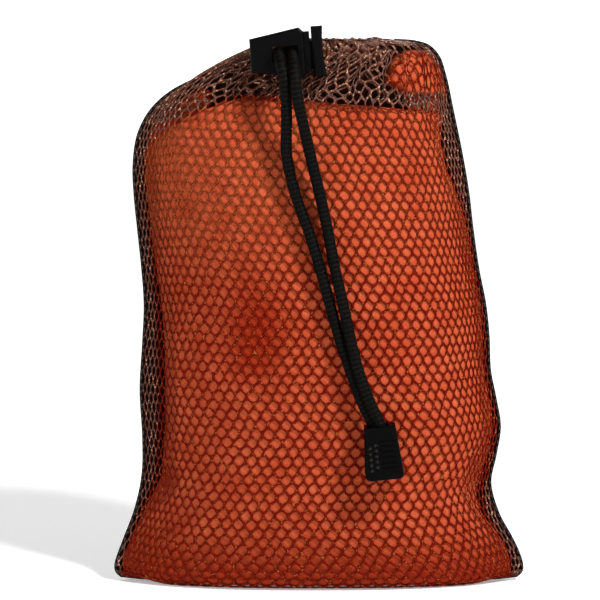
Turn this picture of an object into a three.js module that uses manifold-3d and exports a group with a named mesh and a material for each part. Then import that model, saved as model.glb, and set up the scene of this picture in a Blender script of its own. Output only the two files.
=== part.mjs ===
// Net drawstring stuff sack, packed with a folded towel and cinched by a cord lock.
// Millimetres, +Z up. The net front faces -Y. The origin is under the middle of the base.
import * as THREE from "three";
import { mergeVertices } from "three/addons/utils/BufferGeometryUtils.js";
import Module from "manifold-3d";

const wasm = await Module();
wasm.setup();

// ---------------------------------------------------------------- driving dimensions
const GAP = 0.35; // clearance between neighbouring pieces
const CLOTH_THICKNESS = 0.9;
const BINDING_WIDTH = 1.5; // seam binding, seen from the front
const BINDING_THICKNESS = 2.4; // seam binding, through the seam
const EAR_HALF_SPAN = 72.5; // from the middle to the tip of a bottom corner
const SEAM_HALF_OPENING = 1.3; // how far each panel stands from the seam plane at its sides
const BASE_EDGE = 2.4; // the same along the bottom seam
const BASE_DEPTH = 13.0; // flat base, from the seam plane to where the cloth turns up
const BASE_SHARE = 0.07; // share of a panel's rows that lies in the flat base
const MOUTH_Z = 180.7; // top edge of the panels, under the hem
const TOWEL_CLEARANCE = 1.3;
const BASE_CLIMB = 0.12; // how fast the sides of a panel rise along its flat base
const LOW_SHOULDER = 0.16; // share of the width where a panel's side rises to its middle, low down
const HIGH_SHOULDER = 0.035; // the same at the mouth
const CROWN_POWER = 2.6; // how square a panel's section is
const CROWN_ROUNDING = 0.85;
const PANEL_COLUMNS = 22;
const PANEL_ROWS = 30;
const ROW_CROWDING = 0.5; // how much closer together the rows lie at the mouth
const EDGE_SAMPLES = 300;
const NORMAL_STEP = 0.004;
const LEFT_SEAM_STEPS = 44;
const RIGHT_SEAM_STEPS = 48;
const BOTTOM_SEAM_STEPS = 8;
// Shares of the sack's width and height that the towel's main fold and raised corner fill.
const TOWEL_FOLD = { left: 0.06, right: 0.95, low: 0.03, high: 0.92, rows: 20, columns: 16 };
const TOWEL_CORNER = { left: 0.66, right: 0.91, low: 0.88, high: 0.965, rows: 6, columns: 8 };

const CORD_DIAMETER = 4.0;
const CORD_SIDES = 8;
const CORD_PAIR_PITCH = 4.3; // the two tails side by side in the lock
const LOOP_STEPS = 40;
const TAIL_STEPS = 32;

const HEM_Y = 1.6; // middle of the cinched mouth
const HEM_RADIUS = 6.0; // radius of the drawcord's turns in the hem
const ENTRY_RADIUS = 4.2; // the turn from the hem into the lock
const HEM_LEFT = -7.85; // centre of the left turn
const HEM_RIGHT = 14.4; // centre of the right turn
const HEM_HALF_WIDTH = 3.6;
const HEM_HEIGHT = 9.2;
const HEM_BEVEL = 1.2;
const WINDOW_REACH = 12; // how far in front of the mouth's middle the cord window is cut
const LEFT_STRAIGHT = 7; // spacing of the straight points of the cord on each side of the lock
const RIGHT_STRAIGHT = 4;
const CHANNEL_HALF_WIDTH = 2.5;
const CHANNEL_HEIGHT = 5.0;

const LOCK_HOLE = new THREE.Vector3(-11.7, -14.4, 185.9); // middle of the lock's cord hole
const LOCK_TILT = THREE.MathUtils.degToRad(4);
const LOCK_LEFT = -11.9;
const LOCK_RIGHT = 6.6;
const LOCK_LEFT_HALF_HEIGHT = 5.6;
const LOCK_RIGHT_HALF_HEIGHT = 8.5;
const LOCK_DEPTH = 12.0;
const LOCK_WALL = 1.3;
const LOCK_BEVEL = 0.8;
const LOCK_CHAMFER = 1.5;
const LOCK_HOLE_WIDTH = 9.0;
const LOCK_HOLE_HEIGHT = 5.2;
const CAVITY_HEIGHT = 8.4;
const CAVITY_DEPTH = 7.6;
const COLLAR_END = 8.6; // the body's collar, which the plunger's hollow head slides over
const COLLAR_HALF_HEIGHT = 7.0;
const COLLAR_HALF_DEPTH = 4.7;

const PLUNGER_TRAVEL = 2.0;
const PLUNGER_BAR = 1.3; // crossbar between the spring and the cords
const PLUNGER_HEAD_START = 9.2;
const PLUNGER_HEAD_WIDTH = 4.0;
const PLUNGER_HEAD_HALF_HEIGHT = 8.6;
const PLUNGER_HEAD_DEPTH = 12.0;
const PLUNGER_HEAD_FLARE = 0.6; // how much further the head's lower end reaches
const PLUNGER_HEAD_HOLLOW = 0.9; // dip of the thumb face
const RECESS_DEPTH = 1.6;
const SPRING_WIRE = 0.5;
const SPRING_RADIUS = 2.5;
const SPRING_TURNS = 2.5;
const SPRING_SAMPLES = 30;
const SPRING_SIDES = 6;
const SPRING_STEPS = 26;

const END_TOP = new THREE.Vector3(20.4, -32.9, 60.3); // middle of the cord end's top face
const END_TILT = THREE.MathUtils.degToRad(-6);
const END_LENGTH = 18.3;
const END_TOP_WIDTH = 10.6;
const END_BOTTOM_WIDTH = 13.2;
const END_HALF_DEPTH = 5.2;
const END_BEVEL = 0.7;
const END_CORNER = 2.0;
const END_NECK_LENGTH = 5.0; // from the top face down to the knot's pocket
const END_NECK_LEFT = -4.4; // the cords come in left of the middle
const END_NECK_RIGHT = 3.0;
const END_POCKET_HALF_WIDTH = 4.4;
const END_POCKET_HALF_DEPTH = 4.05;
const END_POCKET_DEPTH = 15.6;
const RIB_COUNT = 6;
const RIB_PITCH = 1.9;
const RIB_LEFT = -0.4;
const RIB_RIGHT = 4.2;
const RIB_HALF_WIDTH = 0.5;
const FIRST_RIB = -5.4;
const BUMP_ROWS = 5;
const BUMP_COLUMNS = [[-4.1, 0], [-2.1, 0.95]]; // place across and lift over the first row
const FIRST_BUMP = -7.0;
const BUMP_TOP_RADIUS = 0.45;
const BUMP_BASE_RADIUS = 0.75;
const BUMP_SIDES = 8;
const RAISED = 0.5; // height of the ribs and bumps over the front face
const ROOTED = 0.4; // how deep they sink into it
const KNOT_RADII = [4.0, 3.6, 4.0];
const KNOT_DROP = 10.9; // from the cord end's top face down to the knot's middle

// ---------------------------------------------------------------- materials
function material(color, roughness, metalness = 0) {
  return new THREE.MeshStandardMaterial({ color, roughness, metalness });
}
const NET = material(0x4a3527, 0.6);
const BACK_CLOTH = material(0x1b1310, 0.8);
const BINDING = material(0x1a1512, 0.75);
const CORD = material(0x0c0c0c, 0.7);
const LOCK_PLASTIC = material(0x0d0d0d, 0.4);
const STEEL = material(0xb8bcc0, 0.3, 1);
const TOWEL = material(0xe0521f, 0.95);

const sack = new THREE.Group();
function addPiece(parent, name, geometry, pieceMaterial) {
  const mesh = new THREE.Mesh(geometry, pieceMaterial);
  mesh.name = name;
  parent.add(mesh);
  return mesh;
}

// ---------------------------------------------------------------- closed meshes from points
function signedVolume(points, faces) {
  let volume = 0;
  for (const [a, b, c] of faces) {
    volume += points[a].dot(new THREE.Vector3().crossVectors(points[b], points[c])) / 6;
  }
  return volume;
}

function closedGeometry(points, faces) {
  const outward = signedVolume(points, faces) > 0;
  const geometry = new THREE.BufferGeometry();
  geometry.setAttribute("position", new THREE.Float32BufferAttribute(
    points.flatMap((point) => [point.x, point.y, point.z]), 3));
  geometry.setIndex(faces.flatMap(([a, b, c]) => (outward ? [a, b, c] : [a, c, b])));
  return geometry;
}

// A solid between two grids of the same size, closed by strips round their four edges.
function slab(outer, inner) {
  const rows = outer.length;
  const columns = outer[0].length;
  const top = rows - 1;
  const right = columns - 1;
  const points = [...outer.flat(), ...inner.flat()];
  const faces = [];
  const front = (row, column) => row * columns + column;
  const back = (row, column) => rows * columns + front(row, column);
  const quad = (a, b, c, d) => faces.push([a, b, c], [a, c, d]);
  for (let row = 0; row + 1 < rows; row++) {
    for (let column = 0; column + 1 < columns; column++) {
      quad(front(row, column), front(row, column + 1), front(row + 1, column + 1), front(row + 1, column));
      quad(back(row, column), back(row + 1, column), back(row + 1, column + 1), back(row, column + 1));
    }
    quad(front(row, 0), front(row + 1, 0), back(row + 1, 0), back(row, 0));
    quad(front(row + 1, right), front(row, right), back(row, right), back(row + 1, right));
  }
  for (let column = 0; column + 1 < columns; column++) {
    quad(front(0, column + 1), front(0, column), back(0, column), back(0, column + 1));
    quad(front(top, column), front(top, column + 1), back(top, column + 1), back(top, column));
  }
  return closedGeometry(points, faces);
}

// A solid through rings of points, closed by a fan at each end.
function sweep(rings) {
  const sides = rings[0].length;
  const points = rings.flat();
  const last = (rings.length - 1) * sides;
  const faces = [];
  for (let ring = 0; ring + 1 < rings.length; ring++) {
    for (let side = 0; side < sides; side++) {
      const next = (side + 1) % sides;
      const low = ring * sides;
      const high = low + sides;
      faces.push([low + side, low + next, high + next], [low + side, high + next, high + side]);
    }
  }
  for (let side = 1; side + 1 < sides; side++) {
    faces.push([0, side + 1, side], [last, last + side, last + side + 1]);
  }
  return closedGeometry(points, faces);
}

// ---------------------------------------------------------------- joins and cuts
function toSolid(geometry) {
  const bare = geometry.clone();
  bare.deleteAttribute("normal");
  bare.deleteAttribute("uv");
  const merged = mergeVertices(bare, 1e-4);
  return new wasm.Manifold(new wasm.Mesh({
    numProp: 3,
    vertProperties: new Float32Array(merged.attributes.position.array),
    triVerts: new Uint32Array(merged.index.array),
  }));
}

function toGeometry(solid) {
  const mesh = solid.getMesh();
  const geometry = new THREE.BufferGeometry();
  geometry.setAttribute("position", new THREE.BufferAttribute(new Float32Array(mesh.vertProperties), 3));
  geometry.setIndex(new THREE.BufferAttribute(new Uint32Array(mesh.triVerts), 1));
  return geometry;
}

function boxSolid(low, high) {
  const size = new THREE.Vector3().subVectors(high, low);
  const middle = new THREE.Vector3().addVectors(high, low).multiplyScalar(0.5);
  const geometry = new THREE.BoxGeometry(size.x, size.y, size.z);
  geometry.translate(middle.x, middle.y, middle.z);
  return toSolid(geometry);
}

// An outline in X and Z, extruded along Y between two depths, with bevelled edges.
function plate(outline, frontY, backY, bevel) {
  const geometry = new THREE.ExtrudeGeometry(outline, {
    depth: backY - frontY - 2 * bevel,
    bevelEnabled: bevel > 0,
    bevelSize: bevel,
    bevelOffset: -bevel,
    bevelThickness: bevel,
    bevelSegments: 2,
    curveSegments: 5,
  });
  geometry.rotateX(Math.PI / 2);
  geometry.translate(0, backY - bevel, 0);
  return geometry;
}

// ---------------------------------------------------------------- outline of the packed sack
function curveThrough(points) {
  return new THREE.CatmullRomCurve3(points.map(([x, z]) => new THREE.Vector3(x, 0, z)), false, "centripetal");
}

// Outer edge of each side seam, from the bottom corner up to the mouth.
const LEFT_OUTLINE = curveThrough([
  [-72.5, 2.4], [-71.4, 8], [-69.3, 14.5], [-65, 26], [-62.5, 38], [-62.2, 51], [-63, 68],
  [-62, 85], [-61.4, 98], [-62.2, 111], [-63.6, 125], [-64.8, 138], [-65, 147], [-63.4, 157.5],
  [-59, 166], [-52, 172.5], [-40.6, 178.3], [-30, 182.8], [-20.5, 186.6],
]);
const RIGHT_OUTLINE = curveThrough([
  [72.5, 2.4], [71, 9], [68.4, 15.5], [63.8, 24], [60.8, 35], [62.6, 45], [64, 55], [62.4, 65],
  [60.4, 75], [59.8, 87], [58.6, 98], [56, 111], [53.9, 125], [52.3, 138], [49.8, 152],
  [46.8, 166], [44.2, 178], [41.8, 184.8], [38.2, 188.6], [33, 190.2], [26, 190.7],
]);
// Depth from the seam plane and height, up the middle of a panel above its flat base.
const PROFILE = curveThrough([
  [13, 0], [18, 1.5], [21.4, 5.5], [23.4, 12], [25, 25], [26.4, 45], [27, 66], [26.6, 90],
  [25.6, 115], [24, 135], [21.6, 150], [18.3, 161], [14.5, 169.5], [10.6, 176], [7, MOUTH_Z],
]);

// The point of an outline at a distance inside its edge; side is +1 on the left, -1 on the right.
function insetPoint(curve, share, distance, side) {
  const point = curve.getPointAt(share);
  const tangent = curve.getTangentAt(share);
  return new THREE.Vector3(point.x + side * tangent.z * distance, 0, point.z - side * tangent.x * distance);
}

function panelEdge(curve, side) {
  const samples = [];
  for (let step = 0; step <= EDGE_SAMPLES; step++) {
    samples.push(insetPoint(curve, step / EDGE_SAMPLES, BINDING_WIDTH + GAP, side));
  }
  return samples;
}
const LEFT_EDGE = panelEdge(LEFT_OUTLINE, 1);
const RIGHT_EDGE = panelEdge(RIGHT_OUTLINE, -1);

// The point of a panel's edge at a share of that edge's own height.
function edgeAtHeight(edge, share) {
  const low = edge[0].z;
  const high = edge[edge.length - 1].z;
  const height = THREE.MathUtils.lerp(low, high, share);
  let index = edge.findIndex((point) => point.z >= height);
  index = Math.max(index < 0 ? edge.length - 1 : index, 1);
  const before = edge[index - 1];
  const after = edge[index];
  const part = THREE.MathUtils.clamp((height - before.z) / (after.z - before.z), 0, 1);
  return before.clone().lerp(after, part);
}

function profileAt(v) {
  if (v <= BASE_SHARE) {
    return { depth: THREE.MathUtils.lerp(BASE_EDGE, BASE_DEPTH, v / BASE_SHARE), height: 0 };
  }
  const point = PROFILE.getPointAt((v - BASE_SHARE) / (1 - BASE_SHARE));
  return { depth: point.x, height: point.z };
}

function smooth(low, high, value) {
  return THREE.MathUtils.smoothstep(value, low, high);
}

// The outer surface: u runs from the left seam to the right one, v from the bottom seam to the
// mouth, and side is -1 for the net front and +1 for the cloth back.
function panelPoint(u, v, side) {
  const { depth, height } = profileAt(v);
  const climb = Math.max(height / MOUTH_Z, v * BASE_CLIMB);
  const left = edgeAtHeight(LEFT_EDGE, climb);
  const right = edgeAtHeight(RIGHT_EDGE, climb);
  const shoulder = THREE.MathUtils.lerp(LOW_SHOULDER, HIGH_SHOULDER, smooth(0.85, 0.98, v));
  const middle = smooth(0, shoulder, u) * smooth(0, shoulder, 1 - u);
  const edgeZ = THREE.MathUtils.lerp(left.z, right.z, u);
  const edgeDepth = THREE.MathUtils.lerp(BASE_EDGE, SEAM_HALF_OPENING, smooth(0, 0.1, v));
  const crown = Math.pow(1 - Math.pow(Math.abs(2 * u - 1), CROWN_POWER), CROWN_ROUNDING);
  const bulge = edgeDepth + Math.max(depth - edgeDepth, 0) * crown;
  const mouthShift = HEM_Y * smooth(0.8, 1, v) * crown;
  return new THREE.Vector3(
    THREE.MathUtils.lerp(left.x, right.x, u),
    side * bulge + mouthShift,
    THREE.MathUtils.lerp(edgeZ, height, middle),
  );
}

// Unit normal of the surface, pointing out of the sack.
function panelNormal(u, v, side) {
  const at = (du, dv) => panelPoint(
    THREE.MathUtils.clamp(u + du, 0, 1), THREE.MathUtils.clamp(v + dv, 0, 1), side);
  const across = at(NORMAL_STEP, 0).sub(at(-NORMAL_STEP, 0));
  const up = at(0, NORMAL_STEP).sub(at(0, -NORMAL_STEP));
  return across.cross(up).multiplyScalar(-side).normalize();
}

function insidePoint(u, v, side, distance) {
  return panelPoint(u, v, side).addScaledVector(panelNormal(u, v, side), -distance);
}

// Rows of a panel lie closer together towards the mouth, where its shape changes most.
function rowShare(share) {
  return share + ROW_CROWDING * share * (1 - share);
}

function gridOf(rows, columns, pointAt) {
  const grid = [];
  for (let row = 0; row < rows; row++) {
    const line = [];
    for (let column = 0; column < columns; column++) {
      line.push(pointAt(column / (columns - 1), row / (rows - 1)));
    }
    grid.push(line);
  }
  return grid;
}

// ---------------------------------------------------------------- panels, seams and towel
function panel(side) {
  const face = (inset) => gridOf(PANEL_ROWS, PANEL_COLUMNS, (u, up) => (
    insidePoint(u, rowShare(up), side, inset)));
  return slab(face(0), face(CLOTH_THICKNESS));
}

// A flat binding whose outer edge follows an outline; insetAt gives a point at a depth inside it.
function binding(steps, insetAt) {
  const rings = [];
  for (let step = 0; step <= steps; step++) {
    const outer = insetAt(step / steps, 0);
    const inner = insetAt(step / steps, BINDING_WIDTH);
    const half = BINDING_THICKNESS / 2;
    rings.push([
      new THREE.Vector3(outer.x, -half, outer.z),
      new THREE.Vector3(inner.x, -half, inner.z),
      new THREE.Vector3(inner.x, half, inner.z),
      new THREE.Vector3(outer.x, half, outer.z),
    ]);
  }
  return sweep(rings);
}

function leftInset(share, depth) {
  return insetPoint(LEFT_OUTLINE, share, depth, 1);
}

function rightInset(share, depth) {
  return insetPoint(RIGHT_OUTLINE, share, depth, -1);
}

function bottomInset(share, depth) {
  return new THREE.Vector3(THREE.MathUtils.lerp(-EAR_HALF_SPAN, EAR_HALF_SPAN, share), 0, depth);
}

// The folded towel fills the sack up to its top fold, and one corner of it stands higher.
function towel() {
  const clearance = (v) => THREE.MathUtils.lerp(
    BINDING_WIDTH + 2 * GAP, CLOTH_THICKNESS + TOWEL_CLEARANCE, smooth(0.05, 0.15, v));
  const block = ({ left, right, low, high, rows, columns }) => {
    const face = (side) => gridOf(rows, columns, (across, up) => {
      const v = THREE.MathUtils.lerp(low, high, up);
      return insidePoint(THREE.MathUtils.lerp(left, right, across), v, side, clearance(v));
    });
    return slab(face(-1), face(1));
  };
  return toGeometry(toSolid(block(TOWEL_FOLD)).add(toSolid(block(TOWEL_CORNER))));
}

// ---------------------------------------------------------------- hem and cords
function stadium(radius) {
  const shape = new THREE.Shape();
  shape.absarc(HEM_RIGHT, HEM_Y, radius, -Math.PI / 2, Math.PI / 2, false);
  shape.absarc(HEM_LEFT, HEM_Y, radius, Math.PI / 2, Math.PI * 1.5, false);
  shape.closePath();
  return shape;
}

function stadiumRing(halfWidth, height, bevel) {
  const shape = stadium(HEM_RADIUS + halfWidth);
  shape.holes.push(stadium(HEM_RADIUS - halfWidth));
  const geometry = new THREE.ExtrudeGeometry(shape, {
    depth: height - 2 * bevel,
    bevelEnabled: bevel > 0,
    bevelSize: bevel,
    bevelOffset: -bevel,
    bevelThickness: bevel,
    bevelSegments: 1,
    curveSegments: 7,
  });
  geometry.translate(0, 0, LOCK_HOLE.z - height / 2 + bevel);
  return toSolid(geometry);
}

// The hem with its channel, and a window in front where both ends of the drawcord come out.
function mouthCasing() {
  const halfChannel = CHANNEL_HEIGHT / 2;
  const windowLeft = LOCK_HOLE.x - CORD_PAIR_PITCH / 2 - CHANNEL_HALF_WIDTH;
  const window = (right, backY) => boxSolid(
    new THREE.Vector3(windowLeft, HEM_Y - WINDOW_REACH, LOCK_HOLE.z - halfChannel),
    new THREE.Vector3(right, backY, LOCK_HOLE.z + halfChannel),
  );
  const ring = stadiumRing(HEM_HALF_WIDTH, HEM_HEIGHT, HEM_BEVEL);
  const channel = stadiumRing(CHANNEL_HALF_WIDTH, CHANNEL_HEIGHT, 0);
  const leftWindow = window(LOCK_HOLE.x + CHANNEL_HALF_WIDTH - CORD_PAIR_PITCH / 2, HEM_Y);
  const rightWindow = window(HEM_LEFT + HEM_RADIUS, HEM_Y - HEM_RADIUS + CHANNEL_HALF_WIDTH);
  return toGeometry(ring.subtract(channel).subtract(leftWindow).subtract(rightWindow));
}

function roundSection(diameter, sides) {
  const shape = new THREE.Shape();
  for (let side = 0; side < sides; side++) {
    const angle = (2 * Math.PI * side) / sides;
    const point = [Math.cos(angle) * diameter / 2, Math.sin(angle) * diameter / 2];
    if (side === 0) shape.moveTo(...point);
    else shape.lineTo(...point);
  }
  shape.closePath();
  return shape;
}

function tube(points, diameter, sides, steps) {
  const path = new THREE.CatmullRomCurve3(points, false, "centripetal");
  return new THREE.ExtrudeGeometry(roundSection(diameter, sides), { steps, extrudePath: path });
}

function planArc(centreX, centreY, radius, from, to, count) {
  const points = [];
  for (let step = 0; step <= count; step++) {
    const angle = THREE.MathUtils.degToRad(THREE.MathUtils.lerp(from, to, step / count));
    points.push(new THREE.Vector3(
      centreX + radius * Math.cos(angle), centreY + radius * Math.sin(angle), LOCK_HOLE.z));
  }
  return points;
}

// One length of cord: in through the lock, round the hem and out through the lock again.
function drawcordLoop() {
  const leftX = LOCK_HOLE.x - CORD_PAIR_PITCH / 2;
  const rightX = LOCK_HOLE.x + CORD_PAIR_PITCH / 2;
  const lockFace = LOCK_HOLE.y - LOCK_DEPTH / 2;
  const turnY = HEM_Y - HEM_RADIUS - ENTRY_RADIUS;
  const points = [
    new THREE.Vector3(leftX, lockFace, LOCK_HOLE.z),
    new THREE.Vector3(leftX, lockFace + LEFT_STRAIGHT, LOCK_HOLE.z),
    new THREE.Vector3(leftX, lockFace + 2 * LEFT_STRAIGHT, LOCK_HOLE.z),
    ...planArc(leftX + HEM_RADIUS, HEM_Y, HEM_RADIUS, 180, 90, 4),
    new THREE.Vector3((HEM_LEFT + HEM_RIGHT) / 2, HEM_Y + HEM_RADIUS, LOCK_HOLE.z),
    ...planArc(HEM_RIGHT, HEM_Y, HEM_RADIUS, 90, -90, 8),
    new THREE.Vector3((HEM_LEFT + HEM_RIGHT) / 2, HEM_Y - HEM_RADIUS, LOCK_HOLE.z),
    ...planArc(rightX + ENTRY_RADIUS, turnY, ENTRY_RADIUS, 90, 180, 4),
    new THREE.Vector3(rightX, lockFace + 2 * RIGHT_STRAIGHT, LOCK_HOLE.z),
    new THREE.Vector3(rightX, lockFace + RIGHT_STRAIGHT, LOCK_HOLE.z),
    new THREE.Vector3(rightX, lockFace, LOCK_HOLE.z),
  ];
  return tube(points, CORD_DIAMETER, CORD_SIDES, LOOP_STEPS);
}

// Routes of the two tails, from the lock's front face down to inside the cord end.
const LEFT_TAIL = [
  [-13.85, -20.7, 185.9], [-13.8, -22, 185.8], [-13.5, -26, 184.7], [-12.9, -29.1, 181.7],
  [-12, -30, 177.6], [-11.3, -29.7, 172], [-11.2, -28.6, 163], [-11.1, -27.4, 151.5],
  [-7.9, -27.4, 137.5], [-3.3, -28.5, 124.8], [0.7, -29.2, 111.5], [4, -29.4, 99.3],
  [6.7, -29.5, 90], [9.2, -29.6, 82.3], [12.2, -29.8, 73.5], [15.4, -30.5, 65.6],
  [18.2, -31.1, 60.3], [19.1, -31.2, 57], [19.4, -31.2, 54.2],
];
const RIGHT_TAIL = [
  [-9.55, -20.7, 185.9], [-9.5, -22, 185.8], [-9.2, -26, 184.8], [-8.7, -29.6, 182.1],
  [-8.2, -31.9, 177.9], [-7.6, -32.3, 172], [-5.7, -30.8, 163], [-3.1, -28.8, 151.5],
  [0.3, -28.2, 137.5], [3, -28.9, 124.8], [5.6, -30, 111.5], [8.4, -31.2, 99.3],
  [10.4, -32, 90], [12.2, -32.6, 82.3], [15, -33.3, 73.5], [18.2, -34.1, 65.6],
  [20.7, -34.6, 60.3], [21.6, -34.7, 57], [21.9, -34.7, 54.2],
];
function tail(route) {
  return tube(route.map((point) => new THREE.Vector3(...point)), CORD_DIAMETER, CORD_SIDES, TAIL_STEPS);
}

// ---------------------------------------------------------------- cord lock
const lock = new THREE.Group();
lock.position.copy(LOCK_HOLE);
lock.rotation.y = -LOCK_TILT;
sack.add(lock);

function lockBody() {
  const outline = new THREE.Shape();
  outline.moveTo(LOCK_LEFT, -LOCK_LEFT_HALF_HEIGHT);
  outline.lineTo(LOCK_RIGHT - LOCK_CHAMFER, -LOCK_RIGHT_HALF_HEIGHT);
  outline.lineTo(LOCK_RIGHT, LOCK_CHAMFER - LOCK_RIGHT_HALF_HEIGHT);
  outline.lineTo(LOCK_RIGHT, LOCK_RIGHT_HALF_HEIGHT - LOCK_CHAMFER);
  outline.lineTo(LOCK_RIGHT - LOCK_CHAMFER, LOCK_RIGHT_HALF_HEIGHT);
  outline.lineTo(LOCK_LEFT, LOCK_LEFT_HALF_HEIGHT);
  outline.closePath();
  const body = toSolid(plate(outline, -LOCK_DEPTH / 2, LOCK_DEPTH / 2, LOCK_BEVEL));
  const cavity = boxSolid(
    new THREE.Vector3(LOCK_LEFT + LOCK_WALL, -CAVITY_DEPTH / 2, -CAVITY_HEIGHT / 2),
    new THREE.Vector3(COLLAR_END + 1, CAVITY_DEPTH / 2, CAVITY_HEIGHT / 2),
  );
  const cordHole = boxSolid(
    new THREE.Vector3(-LOCK_HOLE_WIDTH / 2, -LOCK_DEPTH, -LOCK_HOLE_HEIGHT / 2),
    new THREE.Vector3(LOCK_HOLE_WIDTH / 2, LOCK_DEPTH, LOCK_HOLE_HEIGHT / 2),
  );
  const collar = boxSolid(
    new THREE.Vector3(LOCK_RIGHT - LOCK_WALL, -COLLAR_HALF_DEPTH, -COLLAR_HALF_HEIGHT),
    new THREE.Vector3(COLLAR_END, COLLAR_HALF_DEPTH, COLLAR_HALF_HEIGHT),
  );
  return toGeometry(body.add(collar).subtract(cavity).subtract(cordHole));
}

const SLOT_LEFT = -LOCK_HOLE_WIDTH / 2;
const SLOT_RIGHT = LOCK_HOLE_WIDTH / 2 + PLUNGER_TRAVEL;
function lockPlunger() {
  const shankHalfHeight = CAVITY_HEIGHT / 2 - GAP;
  const shankHalfDepth = CAVITY_DEPTH / 2 - GAP;
  const shank = boxSolid(
    new THREE.Vector3(SLOT_LEFT - PLUNGER_BAR, -shankHalfDepth, -shankHalfHeight),
    new THREE.Vector3(PLUNGER_HEAD_START + RECESS_DEPTH + GAP, shankHalfDepth, shankHalfHeight),
  );
  const slot = boxSolid(
    new THREE.Vector3(SLOT_LEFT, -LOCK_DEPTH, -LOCK_HOLE_HEIGHT / 2),
    new THREE.Vector3(SLOT_RIGHT, LOCK_DEPTH, LOCK_HOLE_HEIGHT / 2),
  );
  const headEnd = PLUNGER_HEAD_START + PLUNGER_HEAD_WIDTH;
  const outline = new THREE.Shape();
  outline.moveTo(PLUNGER_HEAD_START, -PLUNGER_HEAD_HALF_HEIGHT);
  outline.lineTo(headEnd + PLUNGER_HEAD_FLARE, -PLUNGER_HEAD_HALF_HEIGHT);
  outline.quadraticCurveTo(headEnd - PLUNGER_HEAD_HOLLOW, 0, headEnd, PLUNGER_HEAD_HALF_HEIGHT);
  outline.lineTo(PLUNGER_HEAD_START, PLUNGER_HEAD_HALF_HEIGHT);
  outline.closePath();
  const head = toSolid(plate(outline, -PLUNGER_HEAD_DEPTH / 2, PLUNGER_HEAD_DEPTH / 2, LOCK_BEVEL));
  const recess = boxSolid(
    new THREE.Vector3(PLUNGER_HEAD_START - 1, -COLLAR_HALF_DEPTH - GAP, -COLLAR_HALF_HEIGHT - GAP),
    new THREE.Vector3(PLUNGER_HEAD_START + RECESS_DEPTH, COLLAR_HALF_DEPTH + GAP, COLLAR_HALF_HEIGHT + GAP),
  );
  return toGeometry(head.subtract(recess).add(shank.subtract(slot)));
}

function lockSpring() {
  const low = LOCK_LEFT + LOCK_WALL + SPRING_WIRE / 2 + GAP;
  const high = SLOT_LEFT - PLUNGER_BAR - SPRING_WIRE / 2 - GAP;
  const points = [];
  for (let step = 0; step <= SPRING_SAMPLES; step++) {
    const angle = (2 * Math.PI * SPRING_TURNS * step) / SPRING_SAMPLES;
    points.push(new THREE.Vector3(
      THREE.MathUtils.lerp(low, high, step / SPRING_SAMPLES),
      SPRING_RADIUS * Math.cos(angle),
      SPRING_RADIUS * Math.sin(angle),
    ));
  }
  return tube(points, SPRING_WIRE, SPRING_SIDES, SPRING_STEPS);
}

// ---------------------------------------------------------------- cord end
const cordEnd = new THREE.Group();
cordEnd.position.copy(END_TOP);
cordEnd.rotation.y = END_TILT;
sack.add(cordEnd);

function endOutline() {
  const top = END_TOP_WIDTH / 2;
  const bottom = END_BOTTOM_WIDTH / 2;
  const outline = new THREE.Shape();
  outline.moveTo(-top, 0);
  outline.lineTo(-bottom, END_CORNER - END_LENGTH);
  outline.quadraticCurveTo(-bottom, -END_LENGTH, END_CORNER - bottom, -END_LENGTH);
  outline.lineTo(bottom - END_CORNER, -END_LENGTH);
  outline.quadraticCurveTo(bottom, -END_LENGTH, bottom, END_CORNER - END_LENGTH);
  outline.lineTo(top, 0);
  outline.closePath();
  return outline;
}

// Both shells are cut from one hollow block, along its middle plane.
function hollowEnd() {
  const block = toSolid(plate(endOutline(), -END_HALF_DEPTH, END_HALF_DEPTH, END_BEVEL));
  const neck = boxSolid(
    new THREE.Vector3(END_NECK_LEFT, -END_POCKET_HALF_DEPTH, -END_NECK_LENGTH - 1),
    new THREE.Vector3(END_NECK_RIGHT, END_POCKET_HALF_DEPTH, 1),
  );
  const pocket = boxSolid(
    new THREE.Vector3(-END_POCKET_HALF_WIDTH, -END_POCKET_HALF_DEPTH, -END_POCKET_DEPTH),
    new THREE.Vector3(END_POCKET_HALF_WIDTH, END_POCKET_HALF_DEPTH, -END_NECK_LENGTH),
  );
  return block.subtract(neck).subtract(pocket);
}

function endHalf(frontY, backY) {
  const half = boxSolid(
    new THREE.Vector3(-END_BOTTOM_WIDTH, frontY, -END_LENGTH - 1),
    new THREE.Vector3(END_BOTTOM_WIDTH, backY, 1),
  );
  return hollowEnd().intersect(half);
}

function cordEndFront() {
  const face = -END_HALF_DEPTH;
  let shell = endHalf(face - 1, -GAP / 2);
  for (let rib = 0; rib < RIB_COUNT; rib++) {
    const z = FIRST_RIB - rib * RIB_PITCH;
    shell = shell.add(boxSolid(
      new THREE.Vector3(RIB_LEFT, face - RAISED, z - RIB_HALF_WIDTH),
      new THREE.Vector3(RIB_RIGHT, face + ROOTED, z + RIB_HALF_WIDTH),
    ));
  }
  for (let row = 0; row < BUMP_ROWS; row++) {
    for (const [x, lift] of BUMP_COLUMNS) {
      const bump = new THREE.CylinderGeometry(
        BUMP_BASE_RADIUS, BUMP_TOP_RADIUS, RAISED + ROOTED, BUMP_SIDES);
      bump.translate(x, face + (ROOTED - RAISED) / 2, FIRST_BUMP - row * RIB_PITCH + lift);
      shell = shell.add(toSolid(bump));
    }
  }
  return toGeometry(shell);
}

function cordEndBack() {
  return toGeometry(endHalf(GAP / 2, END_HALF_DEPTH + 1));
}

// The knot that both tails are tied into, drawn as one rounded lump.
function tailKnot() {
  const geometry = new THREE.SphereGeometry(1, 12, 8);
  geometry.scale(...KNOT_RADII);
  geometry.translate(0, 0, -KNOT_DROP);
  return geometry;
}

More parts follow.
